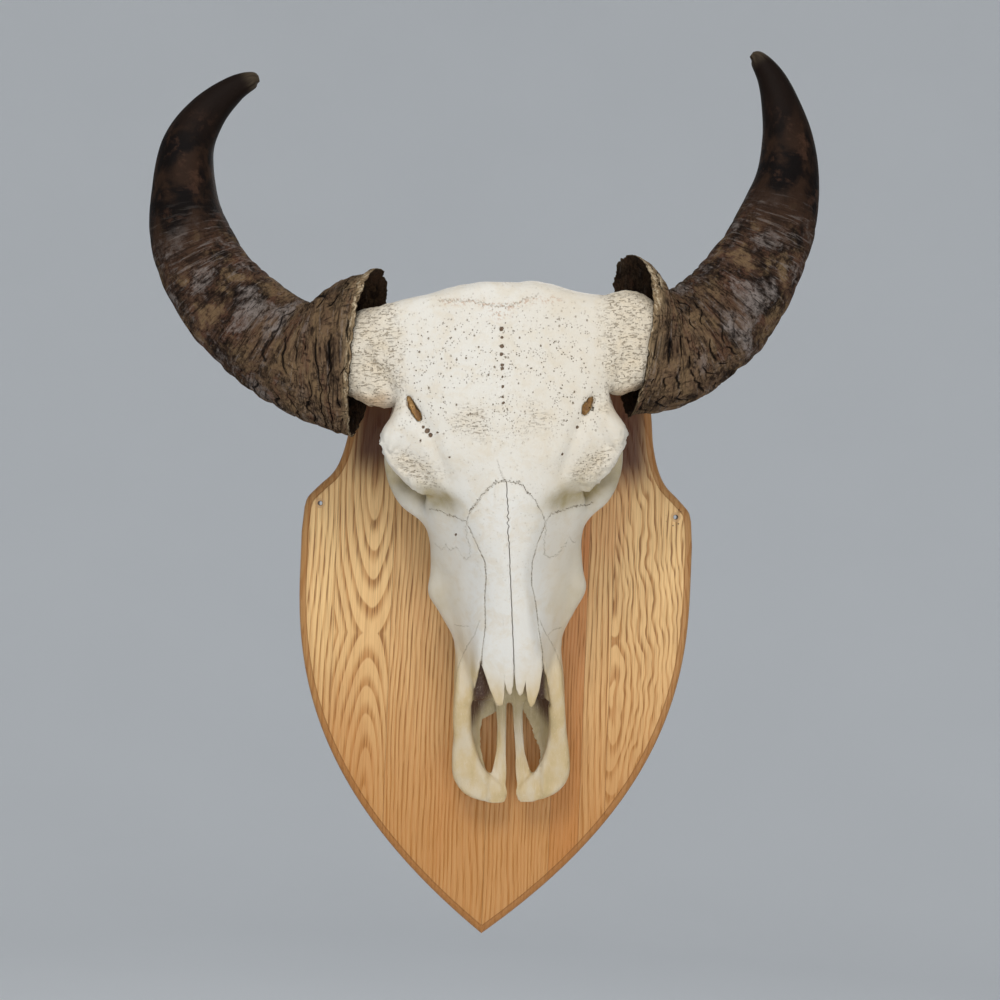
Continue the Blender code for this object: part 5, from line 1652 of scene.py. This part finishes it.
@dataclass
class Shield:
    """The oak shield: a flat board with a hollow cut round its front edge and two wall-screw holes."""

    half_width: float = 202.0
    thickness: float = 19.0
    tip: float = -438.0
    top: float = 186.0
    cove: float = 7.0
    hole_x: float = 183.5
    hole_radius: float = 2.2
    through: float = 30.0
    side_power: float = 2.38

    def outline(self) -> Array:
        """The outline at even steps: top, shoulder, neck, ear, long side and point, then mirrored."""
        neck = [(0, self.top), (60, self.top - 3), (110, self.top - 14), (138, self.top - 34), (151, 128),
                (155, 100), (158, 72), (164, 48), (172, 32), (184, 20)]
        smooth = eased(neck, 120)
        ear = np.array([(196.5, 6.5), (200, -4)], float)
        share = np.linspace(0.06, 1, 120)
        side = self.half_width * (1 - np.maximum(0, (share - 0.16) / 0.84) ** self.side_power)
        drop = share * (self.tip + 10) - 10 * share
        long_side = np.column_stack([side, drop])
        right = np.vstack([smooth, eased(np.vstack([smooth[-1], ear]), 14)[1:], long_side[1:]])
        right[-1] = (0, self.tip)
        whole = np.vstack([right, (right * (-1, 1))[-2:0:-1]])
        steps = np.linalg.norm(np.diff(np.vstack([whole, whole[:1]]), axis=0), axis=1)
        walked = np.concatenate([[0], np.cumsum(steps)])
        at = np.linspace(0, walked[-1], 960, endpoint=False)
        corner = walked[len(right) - 1]
        at = at + (corner - at[np.argmin(np.abs(at - corner))])
        closed = np.vstack([whole, whole[:1]])
        return np.stack([np.interp(at % walked[-1], walked, closed[:, k]) for k in range(2)], axis=1)

    def shape(self) -> Shape:
        """The profile carried round the outline; its two ends are drawn in to a centre."""
        ring = self.outline()
        before, after = np.roll(ring, 4, axis=0), np.roll(ring, -4, axis=0)
        along = after - before
        along /= np.linalg.norm(along, axis=1)[:, None]
        inward = np.stack([-along[:, 1], along[:, 0]], axis=1)
        inward *= np.sign(((np.array([0, -60]) - ring) * inward).sum(axis=1))[:, None]
        t, c, d = self.thickness, self.cove, 0.6
        arc = np.linspace(0, np.pi / 2, 9)
        hollow = [(c * (1 - math.cos(a)) * 0.96 + 0.3, t - c * 0.75 + c * 0.62 * math.sin(a)) for a in arc]
        profile = [
            (d, 0), (0, d), (0, t - c * 0.75 - 0.5), (0.3, t - c * 0.75), *hollow[1:],
            (c + 0.2, t - 0.35), (c + 0.9, t),
        ]
        rings, cove = [], []
        centre = np.array([0.0, -60.0])
        for inset, out in profile:
            at = ring + inward * inset
            rings.append(np.stack([at[:, 0], np.full(len(at), -out), at[:, 1]], axis=-1))
            cove.append(np.full(len(at), 1.0 if 0 < out < t - 0.2 else 0.15 if out else 0.6))
        last = ring + inward * (c + 0.9)
        for share in (0.97, 0.9, 0.75, 0.5, 0.2):
            at = centre + (last - centre) * share
            rings.append(np.stack([at[:, 0], np.full(len(at), -t), at[:, 1]], axis=-1))
            cove.append(np.zeros(len(at)))
        first = ring + inward * d
        for share in (0.5, 0.97):
            at = centre + (first - centre) * share
            rings.insert(0 if share == 0.5 else 1, np.stack([at[:, 0], np.zeros(len(at)), at[:, 1]], axis=-1))
            cove.insert(0, np.full(len(at), 0.3))
        return tube(np.array(rings), {"cove": np.array(cove)})

    def drill(self, board: bpy.types.Object, x: float, z: float, radius: float, depth: float) -> None:
        """Cuts a round hole into the board from its back.

        Args:
            board: the board.
            x: the hole's place to the right, in millimetres.
            z: the hole's place upwards.
            radius: the hole's radius.
            depth: how deep the hole goes.
        """
        angles = np.linspace(0, 2 * np.pi, 40, endpoint=False)
        rings = np.array([
            np.stack([x + radius * np.cos(angles), np.full(40, y), z + radius * np.sin(angles)], axis=-1)
            for y in (12.0, -depth / 2, -depth)
        ])
        cut = tube(rings)
        faces = cut.quads if signed_volume(cut.points, cut.quads) > 0 else cut.quads[:, ::-1]
        mesh = bpy.data.meshes.new("drill")
        mesh.from_pydata((cut.points * MM).tolist(), [], faces.tolist())
        cutter = bpy.data.objects.new("drill", mesh)
        bpy.context.collection.objects.link(cutter)
        modifier = board.modifiers.new("hole", "BOOLEAN")
        modifier.operation = "DIFFERENCE"
        modifier.solver = "EXACT"
        modifier.object = cutter
        with bpy.context.temp_override(object=board, active_object=board, selected_objects=[board]):
            bpy.ops.object.modifier_apply(modifier=modifier.name)
        bpy.data.objects.remove(cutter, do_unlink=True)

    def build(self, oak: bpy.types.Material, screws: "Screws") -> None:
        """Makes the board and drills its wall holes and the pockets for the mounting screws."""
        board = add_piece("shield_board", self.shape(), oak, "shield_plaque")
        for x in (-self.hole_x, self.hole_x):
            self.drill(board, x, 0.0, self.hole_radius, self.through)
        for name in screws.along:
            x, z = screws.axis(name)
            self.drill(board, x, z, screws.head_radius + screws.gap, screws.head_front + screws.gap)
            self.drill(board, x, z, screws.radius + screws.gap, self.through)
        faces = board.data.polygons
        normals = np.empty(3 * len(faces))
        faces.foreach_get("normal", normals)
        faces.foreach_set("use_smooth", np.abs(normals.reshape(-1, 3)[:, 1]) < 0.999)


@dataclass
class Screws:
    """The two mounting screws: socket heads sunk in the board's back, and threaded shanks."""

    place: SkullPlace = field(default_factory=SkullPlace)
    along: dict = field(default_factory=lambda: {"mounting_screw_upper": 34.0, "mounting_screw_lower": 312.0})
    length: float = 62.0
    head_radius: float = 4.6
    head_back: float = 1.0
    head_front: float = 4.4
    radius: float = 2.4
    thread_start: float = 22.0
    pitch: float = 1.8
    gap: float = 0.35

    def axis(self, name: str) -> tuple[float, float]:
        """Where a screw's middle line meets the wall plane, to the right and upwards, in millimetres."""
        x, _, z = self.place.to_row(np.array([0.0, self.along[name], 0.0]))
        return float(x), float(z)

    def shape(self, name: str) -> Shape:
        """One screw: its six-sided socket's floor, the head, the thread and the point."""
        angle = np.linspace(0, 2 * np.pi, 48, endpoint=False)
        socket = 2.2 * math.cos(math.pi / 6) / np.cos(angle % (math.pi / 3) - math.pi / 6)
        back, front, wide = self.head_back, self.head_front, self.head_radius
        outline = [
            (socket * 0.5, front - 1.0), (socket, front - 1.2), (socket, back + 0.15), (socket * 1.06, back),
            (wide - 0.5, back), (wide - 0.1, back + 0.2), (wide, back + 0.6), (wide, front - 0.3),
            (wide - 0.3, front), (self.radius + 0.2, front), (self.radius, front + 0.3),
            (self.radius, self.thread_start - 0.5),
        ]
        for out in np.arange(self.thread_start, self.length, self.pitch / 8):
            turn = (out / self.pitch + angle / (2 * np.pi)) % 1.0
            tooth = self.radius - 0.55 * np.abs(2 * turn - 1) ** 0.8
            outline.append((tooth * min(1.0, (self.length + 0.1 - out) / 5), out))
        x, z = self.axis(name)
        rings = [
            np.stack([x + radius * np.cos(angle), 0 * angle - out, z + radius * np.sin(angle)], axis=-1)
            for radius, out in outline
        ]
        return tube(np.array(rings))

    def build(self, steel: bpy.types.Material) -> None:
        """Makes both screws."""
        for name in self.along:
            add_piece(f"{name}_steel", self.shape(name), steel, name)


# Room, lights and camera


@dataclass
class Studio:
    """A pale floor that curves up all round, soft lights and the photograph's viewpoint."""

    floor_z: float = -1.45
    flat_radius: float = 5.0
    edge_radius: float = 10.0
    edge_z: float = 4.6
    distance: float = 2.3
    lens: float = 79.6
    aim: tuple[float, float] = (0.0017, 0.0105)
    roll: float = math.radians(2.26)
    pale: tuple[Triple, Triple] = ((0.84, 0.86, 0.88), (0.88, 0.90, 0.92))
    sky: Triple = (0.62, 0.64, 0.66)
    sky_strength: float = 0.64
    lights: tuple = (
        ("key", (-0.45, -2.35, 1.95), 1.1, 38.0),
        ("fill", (0.6, -2.7, -0.5), 2.4, 30.0),
        ("back", (0.6, 2.4, 1.8), 2.0, 25.0),
    )

    def floor(self) -> None:
        """A wide pale dish: flat under the object, rising smoothly far behind whatever a camera sees."""
        s = Shader("pale_floor")
        cloud = s.noise(s.place(), 1.5, 3.0)
        s.finish(s.mix(cloud, *self.pale), 0.95, cloud, 0.0005)
        share = np.linspace(0, 1, 40)
        radius = np.concatenate([[0.0], self.flat_radius + (self.edge_radius - self.flat_radius) * share])
        height = np.concatenate([[0.0], (self.edge_z - self.floor_z) * share**2]) + self.floor_z
        angle = np.linspace(0, 2 * np.pi, 97)
        grid = np.stack([radius[:, None] * np.cos(angle), radius[:, None] * np.sin(angle),
                         height[:, None] + 0 * angle], axis=-1)
        mesh = bpy.data.meshes.new("floor")
        mesh.from_pydata(grid.reshape(-1, 3).tolist(), [], grid_faces(*grid.shape[:2], False).tolist())
        mesh.polygons.foreach_set("use_smooth", np.ones(len(mesh.polygons), bool))
        mesh.materials.append(s.material)
        floor = bpy.data.objects.new("floor", mesh)
        bpy.context.collection.objects.link(floor)

    def light(self, name: str, place: Triple, size: float, power: float) -> None:
        """A square area light that faces the object's middle."""
        data = bpy.data.lights.new(name, "AREA")
        data.size = size
        data.energy = power
        lamp = bpy.data.objects.new(name, data)
        lamp.location = place
        away = lamp.location.copy()
        lamp.rotation_mode = "QUATERNION"
        lamp.rotation_quaternion = away.to_track_quat("Z", "Y")
        bpy.context.collection.objects.link(lamp)

    def build(self) -> None:
        """Makes the floor, the lights, the pale surroundings and the camera.

        A row of `lights` says a light's name, its place, its size in metres and its power in watts.
        """
        self.floor()
        for light in self.lights:
            self.light(*light)
        world = bpy.data.worlds.new("studio")
        world.use_nodes = True
        background = world.node_tree.nodes["Background"]
        background.inputs["Color"].default_value = (*self.sky, 1.0)
        background.inputs["Strength"].default_value = self.sky_strength
        bpy.context.scene.world = world
        data = bpy.data.cameras.new("camera")
        data.sensor_width = 36.0
        data.lens = self.lens
        camera = bpy.data.objects.new("camera", data)
        c, s = math.cos(self.roll), math.sin(self.roll)
        right, up, back = (c, 0.0, s), (-s, 0.0, c), (0.0, -1.0, 0.0)
        turn = Matrix((right, up, back)).transposed().to_4x4()
        camera.matrix_world = Matrix.Translation((self.aim[0], -self.distance, self.aim[1])) @ turn
        bpy.context.collection.objects.link(camera)
        bpy.context.scene.camera = camera
        bpy.context.scene.view_settings.view_transform = "Standard"


def main() -> None:
    """Builds the object piece by piece, then the room."""
    logging.basicConfig(level=logging.INFO, format="%(message)s")
    skull = Skull()
    skull.build(BoneFinish().material())
    Horns(skull).build(HornFinish().material())
    screws = Screws(skull.place)
    Shield().build(OakFinish().material(), screws)
    screws.build(SteelFinish().material())
    Studio().build()


if __name__ == "__main__":
    main()
